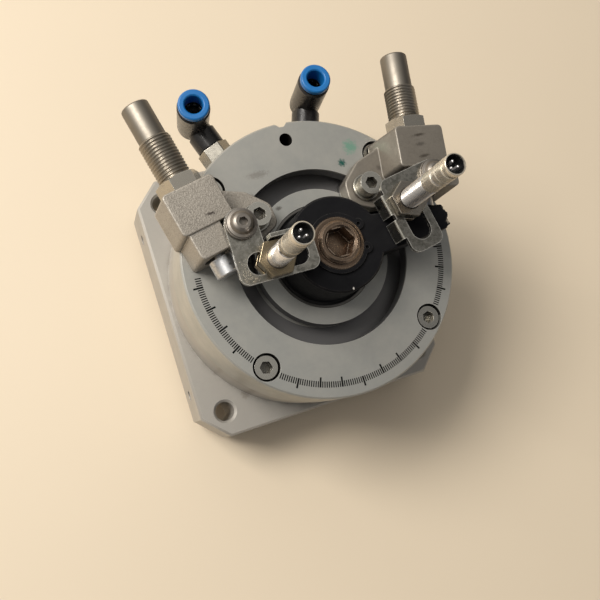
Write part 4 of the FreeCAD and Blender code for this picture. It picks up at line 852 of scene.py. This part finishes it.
class GrowTrees:
    """Geometry node trees for what repeats on the actuator."""

    FLANK: Point = (0.06, 0.44)
    MERGE: float = 1e-6
    THREAD_SIDES: int = 72
    ROWS_PER_TURN: int = 10

    def __init__(self) -> None:
        """Build the trees."""
        self.thread = self.make_thread()
        self.ticks = self.make_ticks()

    def open_tree(self, name: str, floats: Dict[str, float],
                  whole: Dict[str, int]) -> Tuple[NodeBench, Dict[str, Socket]]:
        """Start a tree with named inputs and a geometry output.

        Args:
            name: name of the tree.
            floats: sizes with their first values.
            whole: counts with their first values.

        Returns:
            The bench that works on it and its input sockets by name.
        """
        tree = bpy.data.node_groups.new(name, "GeometryNodeTree")
        for kind, inputs in (("NodeSocketFloat", floats), ("NodeSocketInt", whole)):
            for label, value in inputs.items():
                socket = tree.interface.new_socket(label, in_out="INPUT", socket_type=kind)
                socket.default_value = value
        tree.interface.new_socket("Material", in_out="INPUT", socket_type="NodeSocketMaterial")
        tree.interface.new_socket("Geometry", in_out="OUTPUT", socket_type="NodeSocketGeometry")
        bench = NodeBench(tree)
        entry = bench.add("NodeGroupInput")
        return bench, {label: entry.outputs[label] for label in (*floats, *whole, "Material")}

    def close_tree(self, bench: NodeBench, geometry: Socket,
                   material: Socket) -> Tree:
        """Realize the geometry, give it the material and send it out.

        Args:
            bench: bench that works on the tree.
            geometry: socket with the geometry.
            material: socket with its material.

        Returns:
            The finished tree.
        """
        real = bench.add("GeometryNodeRealizeInstances", {"Geometry": geometry}).outputs[0]
        dressed = bench.add("GeometryNodeSetMaterial", {"Geometry": real, "Material": material})
        leave = bench.add("NodeGroupOutput")
        bench.link(dressed.outputs[0], leave.inputs[0])
        return bench.tree

    def on_circle(self, bench: NodeBench, radius: object, turn: object,
                  height: object) -> Socket:
        """Place at a radius, an angle in radians and a height about Z.

        Args:
            bench: bench that works on the tree.
            radius: socket with the radius.
            turn: socket with the angle.
            height: socket with the height.

        Returns:
            Socket with the place.
        """
        x = bench.math("MULTIPLY", radius, bench.math("COSINE", turn))
        y = bench.math("MULTIPLY", radius, bench.math("SINE", turn))
        return bench.add("ShaderNodeCombineXYZ", {0: x, 1: y, 2: height}).outputs[0]

    def thread_radius(self, bench: NodeBench, given: Dict[str, Socket],
                      height: object, round_share: object) -> Socket:
        """Radius of the thread at a height and a share of the turn, tapered at both ends.

        Args:
            bench: bench that works on the tree.
            given: inputs of the tree by name.
            height: socket with the height.
            round_share: socket with the share of the turn.

        Returns:
            Socket with the radius.
        """
        turns = bench.math("SUBTRACT", bench.math("DIVIDE", height, given["Pitch"]), round_share)
        cut = bench.span(bench.math("PINGPONG", turns, 0.5), *self.FLANK)
        outer = bench.math("SUBTRACT", given["Radius"], bench.math("MULTIPLY", cut, given["Depth"]))
        to_end = bench.math("MINIMUM", height, bench.math("SUBTRACT", given["Length"], height))
        root = bench.math("SUBTRACT", given["Radius"], given["Depth"])
        return bench.math("MINIMUM", outer, bench.math("ADD", root, to_end))

    def make_thread(self) -> Tree:
        """Closed threaded rod along Z, wound from a flat grid whose outer rows close the ends.

        Returns:
            The tree.
        """
        sizes = {"Radius": 0.007, "Length": 0.02, "Pitch": 0.001, "Depth": 0.0006}
        bench, given = self.open_tree("wound_thread", sizes, {"Around": 64, "Along": 120})
        grid = bench.add("GeometryNodeMeshGrid", {"Size X": 1.0, "Size Y": 1.0,
                                                  "Vertices X": bench.math("ADD", given["Around"], 1.0),
                                                  "Vertices Y": bench.math("ADD", given["Along"], 1.0)})
        spot = bench.add("ShaderNodeSeparateXYZ", {0: bench.add("GeometryNodeInputPosition").outputs[0]})
        round_share = bench.math("ADD", spot.outputs[0], 0.5)
        row = bench.math("MULTIPLY", bench.math("ADD", spot.outputs[1], 0.5), given["Along"])
        inner_rows = bench.math("SUBTRACT", given["Along"], 2.0)
        share = bench.math("DIVIDE", bench.math("SUBTRACT", row, 1.0), inner_rows, clamp=True)
        height = bench.math("MULTIPLY", share, given["Length"])
        radius = self.thread_radius(bench, given, height, round_share)
        from_edge = bench.math("MINIMUM", row, bench.math("SUBTRACT", given["Along"], row))
        radius = bench.math("MULTIPLY", radius, bench.math("GREATER_THAN", from_edge, 0.5))
        turn = bench.math("MULTIPLY", round_share, 2 * math.pi)
        where = self.on_circle(bench, radius, turn, height)
        wound = bench.add("GeometryNodeSetPosition", {"Geometry": grid.outputs[0], "Position": where})
        inputs = {"Geometry": wound.outputs[0], "Distance": self.MERGE}
        merged = bench.add("GeometryNodeMergeByDistance", inputs)
        inputs = {"Geometry": merged.outputs[0], "Shade Smooth": True}
        soft = bench.add("GeometryNodeSetShadeSmooth", inputs)
        return self.close_tree(bench, soft.outputs[0], given["Material"])

    def make_ticks(self) -> Tree:
        """Run of short bars on an arc, each pointing at the axis.

        Returns:
            The tree.
        """
        sizes = {"First": 0.0, "Step": 1.0, "Radius": 0.056, "Length": 0.0025, "Width": 0.0003,
                 "Height": 0.00004, "Level": 0.0}
        bench, given = self.open_tree("arc_ticks", sizes, {"Count": 10})
        dots = bench.add("GeometryNodePoints", {"Count": given["Count"]})
        number = bench.add("GeometryNodeInputIndex").outputs[0]
        angle = bench.math("ADD", given["First"], bench.math("MULTIPLY", number, given["Step"]))
        turn = bench.math("RADIANS", angle)
        where = self.on_circle(bench, given["Radius"], turn, given["Level"])
        placed = bench.add("GeometryNodeSetPosition", {"Geometry": dots.outputs[0], "Position": where})
        size = bench.add("ShaderNodeCombineXYZ", {0: given["Length"], 1: given["Width"], 2: given["Height"]})
        bar = bench.add("GeometryNodeMeshCube", {"Size": size.outputs[0]})
        facing = bench.add("ShaderNodeCombineXYZ", {2: turn})
        inputs = {"Points": placed.outputs[0], "Instance": bar.outputs[0], "Rotation": facing.outputs[0]}
        bars = bench.add("GeometryNodeInstanceOnPoints", inputs)
        return self.close_tree(bench, bars.outputs[0], given["Material"])

    def grow(self, tree: Tree, values: Dict[str, object]) -> Mesh:
        """Plain mesh that a tree makes from its inputs.

        Args:
            tree: geometry node tree.
            values: inputs by name.

        Returns:
            The mesh.
        """
        holder = bpy.data.objects.new("grower", bpy.data.meshes.new("grower"))
        bpy.context.scene.collection.objects.link(holder)
        modifier = holder.modifiers.new("grow", "NODES")
        modifier.node_group = tree
        for item in tree.interface.items_tree:
            if item.item_type == "SOCKET" and item.in_out == "INPUT" and item.name in values:
                modifier[item.identifier] = values[item.name]
        bpy.context.view_layer.update()
        shown = holder.evaluated_get(bpy.context.evaluated_depsgraph_get())
        mesh = bpy.data.meshes.new_from_object(shown)
        holder.modifiers.remove(modifier)
        bpy.data.objects.remove(holder)
        return mesh

    def threaded(self, radius: float, length: float, pitch: float, depth: float,
                 look: Look) -> Mesh:
        """Threaded rod along Z from zero up, with its sizes in millimetres."""
        values = {"Radius": radius * MM, "Length": length * MM, "Pitch": pitch * MM, "Depth": depth * MM,
                  "Around": self.THREAD_SIDES, "Along": int(length / pitch * self.ROWS_PER_TURN),
                  "Material": FINISHES[look].material()}
        return self.grow(self.thread, values)

    def bars(self, first: float, step: float, count: int, radius: float, size: Triple, level: float,
             look: Look) -> Mesh:
        """Bars on an arc about Z.

        Args:
            first: angle of the first bar in degrees.
            step: angle between bars in degrees.
            count: number of bars.
            radius: radius of their middles in millimetres.
            size: length towards the axis, width and height in millimetres.
            level: height of their middles in millimetres.
            look: look of their surface.

        Returns:
            The mesh.
        """
        length, width, height = size
        values = {"First": float(first), "Step": float(step), "Count": count, "Radius": radius * MM,
                  "Length": length * MM, "Width": width * MM, "Height": height * MM, "Level": level * MM,
                  "Material": FINISHES[look].material()}
        return self.grow(self.ticks, values)


class Assembly:
    """What every sub-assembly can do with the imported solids."""

    slots: Dict[str, Slot] = {row["node"]: Slot(row["material_slot"]) for row in frame["record"]["subparts"]}

    def body_of(self, node: str) -> str:
        """Body that a node belongs to."""
        return frame["nodes"][node]["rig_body"]

    def settle(self, piece: bpy.types.Object, body: str, slot: Slot, *nodes: str) -> bpy.types.Object:
        """Let a piece ride on a body and stand for nodes.

        Args:
            piece: finished piece.
            body: body that carries it.
            slot: record slot of its finish; not used.
            nodes: nodes that it stands for.

        Returns:
            The piece.
        """
        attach(piece, body)
        if nodes:
            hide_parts(*nodes)
        log.info("%s on %s, %d faces", piece.name, body, len(piece.data.polygons))
        return piece

    def add(self, name: str, mesh: Mesh, look: Look, body: str, *nodes: str) -> bpy.types.Object:
        """Put in a piece of its own on a body, which may stand for nodes."""
        return self.settle(link_piece(name, mesh, look), body, FINISHES[look].slot, *nodes)

    def clean_copy(self, node: str) -> Mesh:
        """Smoothly shaded copy of a solid's mesh, with its flat faces made whole.

        Args:
            node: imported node.

        Returns:
            The mesh.
        """
        mesh = frame["nodes"][node].data.copy()
        for layer in [layer for layer in mesh.attributes if layer.name == "custom_normal"]:
            mesh.attributes.remove(layer)
        work = bmesh.new()
        work.from_mesh(mesh)
        bmesh.ops.remove_doubles(work, verts=work.verts[:], dist=WELD)
        bmesh.ops.dissolve_limit(work, angle_limit=math.radians(FLAT_ANGLE), verts=work.verts[:],
                                 edges=work.edges[:])
        bmesh.ops.triangulate(work, faces=[face for face in work.faces if len(face.verts) > 4])
        shade_by_angle(work)
        work.to_mesh(mesh)
        work.free()
        return mesh

    def skin(self, node: str, edge: float, segments: int = 2,
             look: Optional[Look] = None) -> bpy.types.Object:
        """Smooth copy of a solid, with softened edges, that stands for its node.

        Args:
            node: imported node.
            edge: width of the softened edges in millimetres.
            segments: steps across a softened edge.
            look: its look, or none for the usual one of its slot.

        Returns:
            The piece.
        """
        slot = self.slots[node]
        piece = link_piece(node + "_piece", self.clean_copy(node), look or USUAL[slot])
        soft = piece.modifiers.new("soft_edges", "BEVEL")
        soft.width = edge * MM
        soft.segments = segments
        soft.limit_method = "ANGLE"
        soft.angle_limit = math.radians(SHARP_ANGLE)
        soft.harden_normals = True
        return self.settle(piece, self.body_of(node), slot, node)

    def dress(self, node: str) -> None:
        """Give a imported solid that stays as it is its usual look.

        Args:
            node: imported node.
        """
        solid = frame["nodes"][node]
        solid.data.materials.clear()
        solid.data.materials.append(FINISHES[USUAL[self.slots[node]]].material())
        log.info("%s dressed", node)


@dataclass
class SidedAssembly(Assembly):
    """Sub-assembly that the actuator has on its left and on its right."""

    side: Side

    def node(self, name: str) -> str:
        """Name of a node, piece or body on this side."""
        return self.side.value + "_" + name


@dataclass
class Housing(Assembly):
    """Flange, cover with its dial, screws and the sealed inside; sizes in millimetres and degrees."""

    dial_level: float = 84.0
    tick_radius: float = 56.3
    tick_length: float = 2.6
    tick_width: float = 0.5
    tick_height: float = 0.03
    long_reach: float = 1.7
    long_width: float = 0.78
    long_rise: float = 1.1
    long_step: int = 10
    outward_step: int = 30
    runs: Tuple[Tuple[int, int], ...] = ((176, 218), (232, 308), (322, 364))
    case_radii: Point = (22.0, 23.25)
    case_level: float = 82.5
    case_rise: float = 0.4
    case_edge: float = 0.15
    sealed: Tuple[str, ...] = (
        "cover_o_ring", "fixed_barrier", "barrier_pins", "barrier_seal", "front_bearing_outer",
        "front_bearing_balls", "rear_bearing_outer", "rear_bearing_balls", "front_shaft_seal")

    def build(self, trees: GrowTrees) -> None:
        """Make and dress all pieces of the housing.

        Args:
            trees: node trees for the graduations.
        """
        self.skin("front_housing", edge=0.25)
        self.skin("rear_cover", edge=0.2, look=Look.DIAL)
        self.skin("cover_screws", edge=0.35)
        self.skin("rear_shaft_seal", edge=0.2)
        for node in self.sealed:
            self.dress(node)
        self.seal_case()
        self.graduations(trees)

    def seal_case(self) -> None:
        """Thin steel rim of the shaft seal, beside the lever's hub."""
        inner, outer = self.case_radii
        low = self.case_level
        top = low + self.case_rise
        edge = self.case_edge
        profile = [(inner, low), (outer, low), (outer, top - edge), (outer - edge, top), (inner + edge, top),
                   (inner, top - edge)]
        self.add("seal_case", lathe(profile, Matrix.Identity(4), segments=128), Look.CASE, "housing")

    def graduations(self, trees: GrowTrees) -> None:
        """One-degree ticks on the dial, with longer ones at every tenth degree.

        Args:
            trees: node trees for the ticks.
        """
        meshes = []
        short = (self.tick_length, self.tick_width, self.tick_height)
        long = (self.tick_length + self.long_reach, self.long_width, self.tick_height * self.long_rise)
        for start, stop in self.runs:
            count = stop - start + 1
            meshes.append(trees.bars(start, 1.0, count, self.tick_radius, short, self.dial_level, Look.INK))
            for angle in range(start, stop + 1):
                if angle % self.long_step == 0:
                    way = 1 if angle % self.outward_step == 0 else -1
                    middle = self.tick_radius + way * self.long_reach / 2
                    meshes.append(trees.bars(angle, 1.0, 1, middle, long, self.dial_level, Look.INK))
        self.add("dial_graduations", joined("graduations", meshes), Look.INK, "housing")


@dataclass
class Rotor(Assembly):
    """Everything that turns with the shaft; sizes in millimetres."""

    tip_start: float = 47.0
    tip_reach: float = 6.5
    tip_chip: float = 1.8
    chip_rounds: int = 3
    chip_side: float = 0.9
    chip_scale: float = 700.0
    chip_layers: Tuple[float, float, int] = (0.7, 2.0, 4)
    chip_middle: float = 0.45
    chip_swing: float = 0.9
    sealed: Tuple[str, ...] = (
        "output_screw", "output_shaft", "vane", "vane_seal", "front_bearing_inner", "rear_bearing_inner")

    def build(self) -> None:
        """Make and dress all pieces of the rotor."""
        self.chip_tip(self.skin("stop_lever", edge=0.25))
        self.skin("lever_screw", edge=0.25)
        self.skin("lever_clip", edge=0.15)
        self.skin("output_flange", edge=0.3)
        for node in self.sealed:
            self.dress(node)

    def chip_tip(self, lever: bpy.types.Object) -> None:
        """Wear the lever's outer end unevenly, always inwards.

        Args:
            lever: dressed lever.
        """
        work = bmesh.new()
        work.from_mesh(lever.data)
        start = self.tip_start * MM
        for _ in range(self.chip_rounds):
            outer = [edge for edge in work.edges if all(vert.co.x > start for vert in edge.verts)]
            coarse = [edge for edge in outer if edge.calc_length() > self.chip_side * MM]
            bmesh.ops.subdivide_edges(work, edges=coarse, cuts=1, use_grid_fill=True)
        for vert in work.verts:
            reach = (vert.co.x - start) / (self.tip_reach * MM)
            if reach > 0.0:
                rough = noise.fractal(vert.co * self.chip_scale, *self.chip_layers)
                depth = max(0.0, min(1.0, self.chip_middle + self.chip_swing * rough))
                vert.co.x -= self.tip_chip * MM * min(1.0, reach) ** 2 * depth
        chipped = [face for face in work.faces if face.calc_center_median().x > start]
        bmesh.ops.triangulate(work, faces=chipped)
        shade_by_angle(work)
        work.to_mesh(lever.data)
        work.free()


@dataclass
class StopUnit(SidedAssembly):
    """One adjustable stop with its shock absorber; sizes in millimetres and degrees."""

    turn: float
    shift: float
    bore_end: float
    casting: Look
    axis_u: float = 44.2
    axis_z: float = 96.5
    front: float = 28.2
    thread_start: float = 51.2
    thread_end: float = 69.6
    tail_end: float = 85.4
    thread_radius: float = 7.0
    thread_pitch: float = 1.36
    thread_depth: float = 0.6
    tail_radius: float = 6.0
    rod_bore: float = 2.6
    edge: float = 0.8
    edge_share: float = 0.12

    def axis(self, along: float) -> Matrix:
        """Placement on the absorber's axis.

        Args:
            along: distance from the lever line.

        Returns:
            Placement with local Z pointing away from the lever.
        """
        sign = -1.0 if self.side is Side.LEFT else 1.0
        spin = Matrix.Rotation(math.radians(self.turn), 3, "Z")
        origin = spin @ Vector((sign * self.axis_u, along, self.axis_z)) * MM
        return axis_place(origin, spin @ Vector((0.0, 1.0, 0.0)))

    def build(self, trees: GrowTrees) -> None:
        """Make and dress all pieces of the stop.

        Args:
            trees: node trees for the thread.
        """
        self.skin(self.node("stop_block"), edge=0.4, segments=3, look=self.casting)
        self.skin(self.node("clamp_screw"), edge=0.55, segments=3)
        self.skin(self.node("clamp_washer"), edge=0.2)
        self.skin(self.node("lock_nut"), edge=0.3, look=Look.LOCK_NUT)
        self.skin(self.node("absorber_plunger"), edge=0.2, look=Look.CAP)
        self.dress(self.node("slot_nut"))
        self.absorber(trees)

    def absorber(self, trees: GrowTrees) -> None:
        """Threaded body and smooth tail that stand for the absorber's solid.

        Args:
            trees: node trees for the thread.
        """
        start = self.thread_start + self.shift
        thread_end = self.thread_end + self.shift
        thread = trees.threaded(self.thread_radius, thread_end - start, self.thread_pitch, self.thread_depth,
                                Look.THREAD)
        thread.transform(self.axis(start))
        self.add(self.node("absorber_thread"), thread, Look.THREAD, self.node("stop"))
        front = self.front + self.shift
        end = self.tail_end + self.shift
        root = self.thread_radius - self.thread_depth
        step = thread_end - self.edge
        profile = [(self.rod_bore, front), (root - self.edge, front), (root, front + self.edge),
                   (root, step), (self.tail_radius, step),
                   *rounded(self.tail_radius, end, self.edge, self.edge_share),
                   (0.0, end), (0.0, self.bore_end), (self.rod_bore, self.bore_end)]
        tail = lathe(profile, self.axis(0.0), segments=96)
        self.add(self.node("absorber_tail"), tail, Look.TAIL, self.node("stop"), self.node("absorber_body"))


@dataclass(frozen=True)
class Turned:
    """One turned stretch of a sensor; its outline is in millimetres from the sensor's face."""

    name: str
    look: Look
    outline: Tuple[Point, ...]


@dataclass
class SensorUnit(SidedAssembly):
    """One sensor with its bracket; sizes in millimetres from the sensor's face, and degrees."""

    length: float
    nut: Look
    thread_end: float
    stretches: Tuple[Turned, ...]
    windows: Tuple[float, ...] = ()
    window_angles: Point = (20.0, 90.0)
    window_count: int = 4
    window_inset: float = 0.55
    window_size: Point = (0.3, 1.3)
    radius: float = 4.4
    thread_pitch: float = 1.0
    thread_depth: float = 0.42
    plug_radius: float = 3.85
    plug_depth: float = 8.0
    plug_rim: float = 0.6
    lining: float = 0.25
    insert_top: float = 3.5
    pin_count: int = 3
    pin_first: float = 90.0
    pin_radius: float = 0.58
    pin_length: float = 3.6
    pin_root: float = 0.5
    pin_share: float = 0.13
    pin_pitch: float = 1.6

    def build(self, trees: GrowTrees) -> None:
        """Make and dress all pieces of the sensor and its bracket.

        Args:
            trees: node trees for the thread and the windows.
        """
        self.skin(self.node("sensor_bracket"), edge=0.3, segments=3)
        self.skin(self.node("bracket_screw"), edge=0.15, look=Look.BUTTON)
        self.skin(self.node("bracket_washer"), edge=0.2, look=Look.BUTTON)
        self.skin(self.node("sensor_nuts"), edge=0.35, look=self.nut)
        low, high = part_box(self.node("sensor_barrel"))
        place = Matrix.Translation(Vector(((low.x + high.x) / 2, (low.y + high.y) / 2, low.z)))
        self.barrel(trees, place)
        self.plug(place)

    def barrel(self, trees: GrowTrees, place: Matrix) -> None:
        """Threaded part and turned stretches that stand for the barrel's solid.

        Args:
            trees: node trees for the thread and the windows.
            place: placement of the sensor's face.
        """
        body = self.node("stop")
        thread = trees.threaded(self.radius, self.thread_end, self.thread_pitch, self.thread_depth,
                                Look.FINE_THREAD)
        thread.transform(place)
        self.add(self.node("sensor_thread"), thread, Look.FINE_THREAD, body, self.node("sensor_barrel"))
        for stretch in self.stretches:
            mesh = lathe(stretch.outline, place)
            self.add(self.node("sensor_" + stretch.name), mesh, stretch.look, body)
        if self.windows:
            low, high = self.windows
            first, step = self.window_angles
            size = (*self.window_size, high - low)
            mesh = trees.bars(first, step, self.window_count, self.radius - self.window_inset, size,
                              (low + high) / 2, Look.PLUG)
            mesh.transform(place)
            self.add(self.node("sensor_windows"), mesh, Look.PLUG, body)

    def plug(self, place: Matrix) -> None:
        """Black insert with its lining and bright pins, which stand for the insert's solid.

        Args:
            place: placement of the sensor's face.
        """
        body = self.node("stop")
        floor = self.length - self.plug_depth
        top = floor + self.insert_top
        rim = self.length - self.plug_rim
        wall = self.plug_radius - self.lining
        profile = [(0.0, floor), (self.plug_radius, floor), (self.plug_radius, rim), (wall, rim),
                   (wall, top), (0.0, top)]
        disc = lathe(profile, place, segments=48)
        self.add(self.node("sensor_disc"), disc, Look.PLUG, body, self.node("sensor_insert"))
        root = top - self.pin_root
        radius = self.pin_radius
        tip = rounded(radius, top + self.pin_length, radius, self.pin_share)
        outline = [(0.0, root), (radius, root), *tip]
        pins = []
        for k in range(self.pin_count):
            turn = math.radians(self.pin_first + 360.0 / self.pin_count * k)
            step = Matrix.Translation(Vector((math.cos(turn), math.sin(turn), 0.0)) * self.pin_pitch * MM)
            pins.append(lathe(outline, place @ step, segments=20))
        self.add(self.node("sensor_pins"), joined("pins", pins), Look.BARREL, body)


@dataclass
class AirFitting(SidedAssembly):
    """One push-in elbow with its stem; sizes in millimetres and degrees."""

    port_angle: float
    lean: float
    axis_radius: float = 88.5
    port_level: float = 49.0
    claw_level: float = 14.4
    claw_radius: float = 3.75
    claw_size: Triple = (0.6, 1.2, 0.25)
    claw_count: int = 8

    def build(self, trees: GrowTrees) -> None:
        """Make and dress all pieces of the fitting.

        Args:
            trees: node trees for the claws.
        """
        self.skin(self.node("fitting_stem"), edge=0.4, segments=3)
        self.skin(self.node("fitting_elbow"), edge=0.4, segments=3)
        self.skin(self.node("release_ring"), edge=0.25)
        self.dress(self.node("port_seal"))
        self.dress(self.node("tube_seal"))
        self.claws(trees)

    def bend_place(self) -> Matrix:
        """Placement in the bend.

        Returns:
            Placement with local Z up the leaning leg.
        """
        turn = Matrix.Rotation(math.radians(self.port_angle), 4, "Z")
        tilt = Matrix.Rotation(math.radians(-self.lean), 4, "X")
        return turn @ Matrix.Translation(Vector((self.axis_radius, 0.0, self.port_level)) * MM) @ tilt

    def claws(self, trees: GrowTrees) -> None:
        """Ring of steel claws that grips the tube, deep in the leg.

        Args:
            trees: node trees for the claws.
        """
        mesh = trees.bars(0.0, 360.0 / self.claw_count, self.claw_count, self.claw_radius, self.claw_size,
                          self.claw_level, Look.STEM)
        mesh.transform(self.bend_place())
        self.add(self.node("tube_claws"), mesh, Look.STEM, self.node("elbow"))


@dataclass(frozen=True)
class Lamp:
    """Square soft lamp that faces the actuator; lengths in metres and power in watts."""

    name: str
    at: Triple
    side: float
    power: float
    colour: Colour


@dataclass
class Studio:
    """Floor, lamps, surroundings and camera; lengths in metres."""

    floor_side: float = 6.0
    floor_colour: Colour = (0.68, 0.575, 0.435)
    floor_shade: float = 0.97
    floor_patches: float = 6.0
    floor_roughness: float = 0.6
    horizon: Colour = (0.46, 0.44, 0.405)
    horizon_span: Point = (0.08, 0.20)
    bright_sky: Colour = (0.78, 0.76, 0.72)
    dark_sky: Colour = (0.05, 0.05, 0.055)
    bright_way: Triple = (-0.55, 0.62, 0.56)
    bright_span: Point = (0.1, 0.85)
    aim: Triple = (0.0, 0.0, 0.06)
    lamps: Tuple[Lamp, ...] = (
        Lamp("key_lamp", (-0.80, 0.62, 1.10), 0.6, 26.0, (1.0, 0.96, 0.90)),
        Lamp("fill_lamp", (0.70, -0.90, 0.75), 0.9, 0.7, (0.95, 0.97, 1.0)))
    camera_at: Triple = (-0.1181, -0.0465, 0.3864)
    camera_right: Triple = (0.9121, -0.3033, 0.2759)
    camera_up: Triple = (0.2600, 0.9482, 0.1826)
    lens: float = 45.0
    sensor_width: float = 36.0
    clip_start: float = 0.01

    def build(self) -> None:
        """Set up the whole studio."""
        self.floor()
        self.surroundings()
        for lamp in self.lamps:
            self.light(lamp)
        self.camera()

    def floor(self) -> None:
        """Plain pale floor under the actuator."""
        half = self.floor_side / 2
        level = cad_box[0][2]
        corners = [(-half, -half, level), (half, -half, level), (half, half, level), (-half, half, level)]
        mesh = bpy.data.meshes.new("floor")
        mesh.from_pydata(corners, [], [(0, 1, 2, 3)])
        plane = bpy.data.objects.new("floor", mesh)
        bpy.context.scene.collection.objects.link(plane)
        look = bpy.data.materials.new("pale_floor")
        look.use_nodes = True
        bench = NodeBench(look.node_tree)
        shader = look.node_tree.nodes["Principled BSDF"]
        darker = [self.floor_shade * part for part in self.floor_colour]
        patches = bench.cloud(bench.place(), self.floor_patches, detail=3.0)
        bench.link(bench.blend(patches, rgba(self.floor_colour), rgba(darker)), shader.inputs["Base Color"])
        shader.inputs["Roughness"].default_value = self.floor_roughness
        mesh.materials.append(look)

    def surroundings(self) -> None:
        """Soft sky, pale at the horizon and bright towards the key lamp."""
        world = bpy.data.worlds.new("studio")
        bpy.context.scene.world = world
        world.use_nodes = True
        bench = NodeBench(world.node_tree)
        way = bench.add("ShaderNodeTexCoord").outputs["Generated"]
        rise = bench.add("ShaderNodeSeparateXYZ", {0: way}).outputs[2]
        toward = bench.vector("DOT_PRODUCT", way, self.bright_way).outputs[1]
        sky = bench.blend(bench.span(toward, *self.bright_span), rgba(self.dark_sky), rgba(self.bright_sky))
        whole = bench.blend(bench.span(rise, *self.horizon_span), rgba(self.horizon), sky)
        bench.link(whole, world.node_tree.nodes["Background"].inputs["Color"])

    def light(self, lamp: Lamp) -> None:
        """Put a lamp into the scene.

        Args:
            lamp: its sizes and place.
        """
        data = bpy.data.lights.new(lamp.name, "AREA")
        data.shape = "SQUARE"
        data.size = lamp.side
        data.energy = lamp.power
        data.color = lamp.colour
        stand = bpy.data.objects.new(lamp.name, data)
        bpy.context.scene.collection.objects.link(stand)
        stand.location = lamp.at
        stand.rotation_euler = (Vector(self.aim) - Vector(lamp.at)).to_track_quat("-Z", "Y").to_euler()

    def camera(self) -> None:
        """Camera at the photograph's viewing angle."""
        data = bpy.data.cameras.new("camera")
        data.lens = self.lens
        data.sensor_width = self.sensor_width
        data.clip_start = self.clip_start
        eye = bpy.data.objects.new("camera", data)
        bpy.context.scene.collection.objects.link(eye)
        right = Vector(self.camera_right).normalized()
        up = Vector(self.camera_up)
        up = (up - right * up.dot(right)).normalized()
        turn = Matrix((right, up, right.cross(up))).transposed()
        eye.matrix_world = Matrix.Translation(Vector(self.camera_at)) @ turn.to_4x4()
        bpy.context.scene.camera = eye


def plain(low: float, high: float, radius: float) -> Tuple[Point, ...]:
    """Outline of a plain cylinder between two heights."""
    return ((0.0, low), (radius, low), (radius, high), (0.0, high))


def left_sensor() -> SensorUnit:
    """Short sensor with a smooth barrel, a windowed groove and a pale head.

    Returns:
        The sensor with its bracket.
    """
    wall, step, soft, neck, bore = 4.39, 4.2, 4.15, 3.9, 3.85
    barrel = ((0.0, 6.0), (wall, 6.0), (wall, 23.2), (soft, 23.6), (0.0, 23.6))
    head = ((0.0, 25.3), (soft, 25.3), (wall, 25.7), (wall, 29.6), (step, 29.9), (step, 30.4), (wall, 30.7),
            (wall, 39.6), (step, 39.9), (step, 40.5), (wall, 40.8), (wall, 43.0), (4.25, 43.3), (4.1, 43.4),
            (bore, 43.4), (bore, 35.4), (0.0, 35.4))
    stretches = (Turned("barrel", Look.BARREL, barrel), Turned("neck", Look.BARREL, plain(23.0, 26.0, neck)),
                 Turned("head", Look.SLEEVE, head))
    return SensorUnit(Side.LEFT, length=43.4, nut=Look.GOLD_NUT, thread_end=7.0, stretches=stretches,
                      windows=(23.7, 25.2))


def right_sensor() -> SensorUnit:
    """Long sensor with a fine thread, a pale band and a turned metal head.

    Returns:
        The sensor with its bracket.
    """
    wall, step, soft, neck, bore = 4.39, 4.2, 4.15, 3.9, 3.85
    band = ((0.0, 31.0), (4.1, 31.0), (4.1, 31.5), (4.3, 31.7), (4.3, 38.2), (4.1, 38.5), (0.0, 38.5))
    collar = ((0.0, 40.0), (step, 40.0), (wall, 40.3), (wall, 42.6), (soft, 42.9), (soft, 43.3),
              (wall, 43.5), (wall, 47.3), (step, 47.6), (neck, 47.6), (neck, 48.8), (step, 48.8),
              (wall, 49.1), (wall, 51.1), (4.25, 51.4), (4.1, 51.5), (bore, 51.5), (bore, 43.5),
              (0.0, 43.5))
    stretches = (Turned("band", Look.SLEEVE, band), Turned("neck", Look.BARREL, plain(38.0, 41.0, neck)),
                 Turned("collar", Look.SLEEVE, collar))
    return SensorUnit(Side.RIGHT, length=51.5, nut=Look.GREY_NUT, thread_end=31.3, stretches=stretches)


def main() -> None:
    """Build every sub-assembly and the studio, in order."""
    logging.basicConfig(level=logging.INFO, format="%(name)s: %(message)s")
    bpy.context.scene.view_settings.view_transform = "Standard"
    trees = GrowTrees()
    Housing().build(trees)
    Rotor().build()
    StopUnit(Side.LEFT, turn=13.0, shift=3.2, bore_end=47.4, casting=Look.GRAINY_CASTING).build(trees)
    StopUnit(Side.RIGHT, turn=-9.0, shift=0.0, bore_end=50.4, casting=Look.SCUFFED_CASTING).build(trees)
    left_sensor().build(trees)
    right_sensor().build(trees)
    AirFitting(Side.LEFT, port_angle=109.1, lean=9.0).build(trees)
    AirFitting(Side.RIGHT, port_angle=70.0, lean=5.5).build(trees)
    Studio().build()


if __name__ == "__main__":
    main()
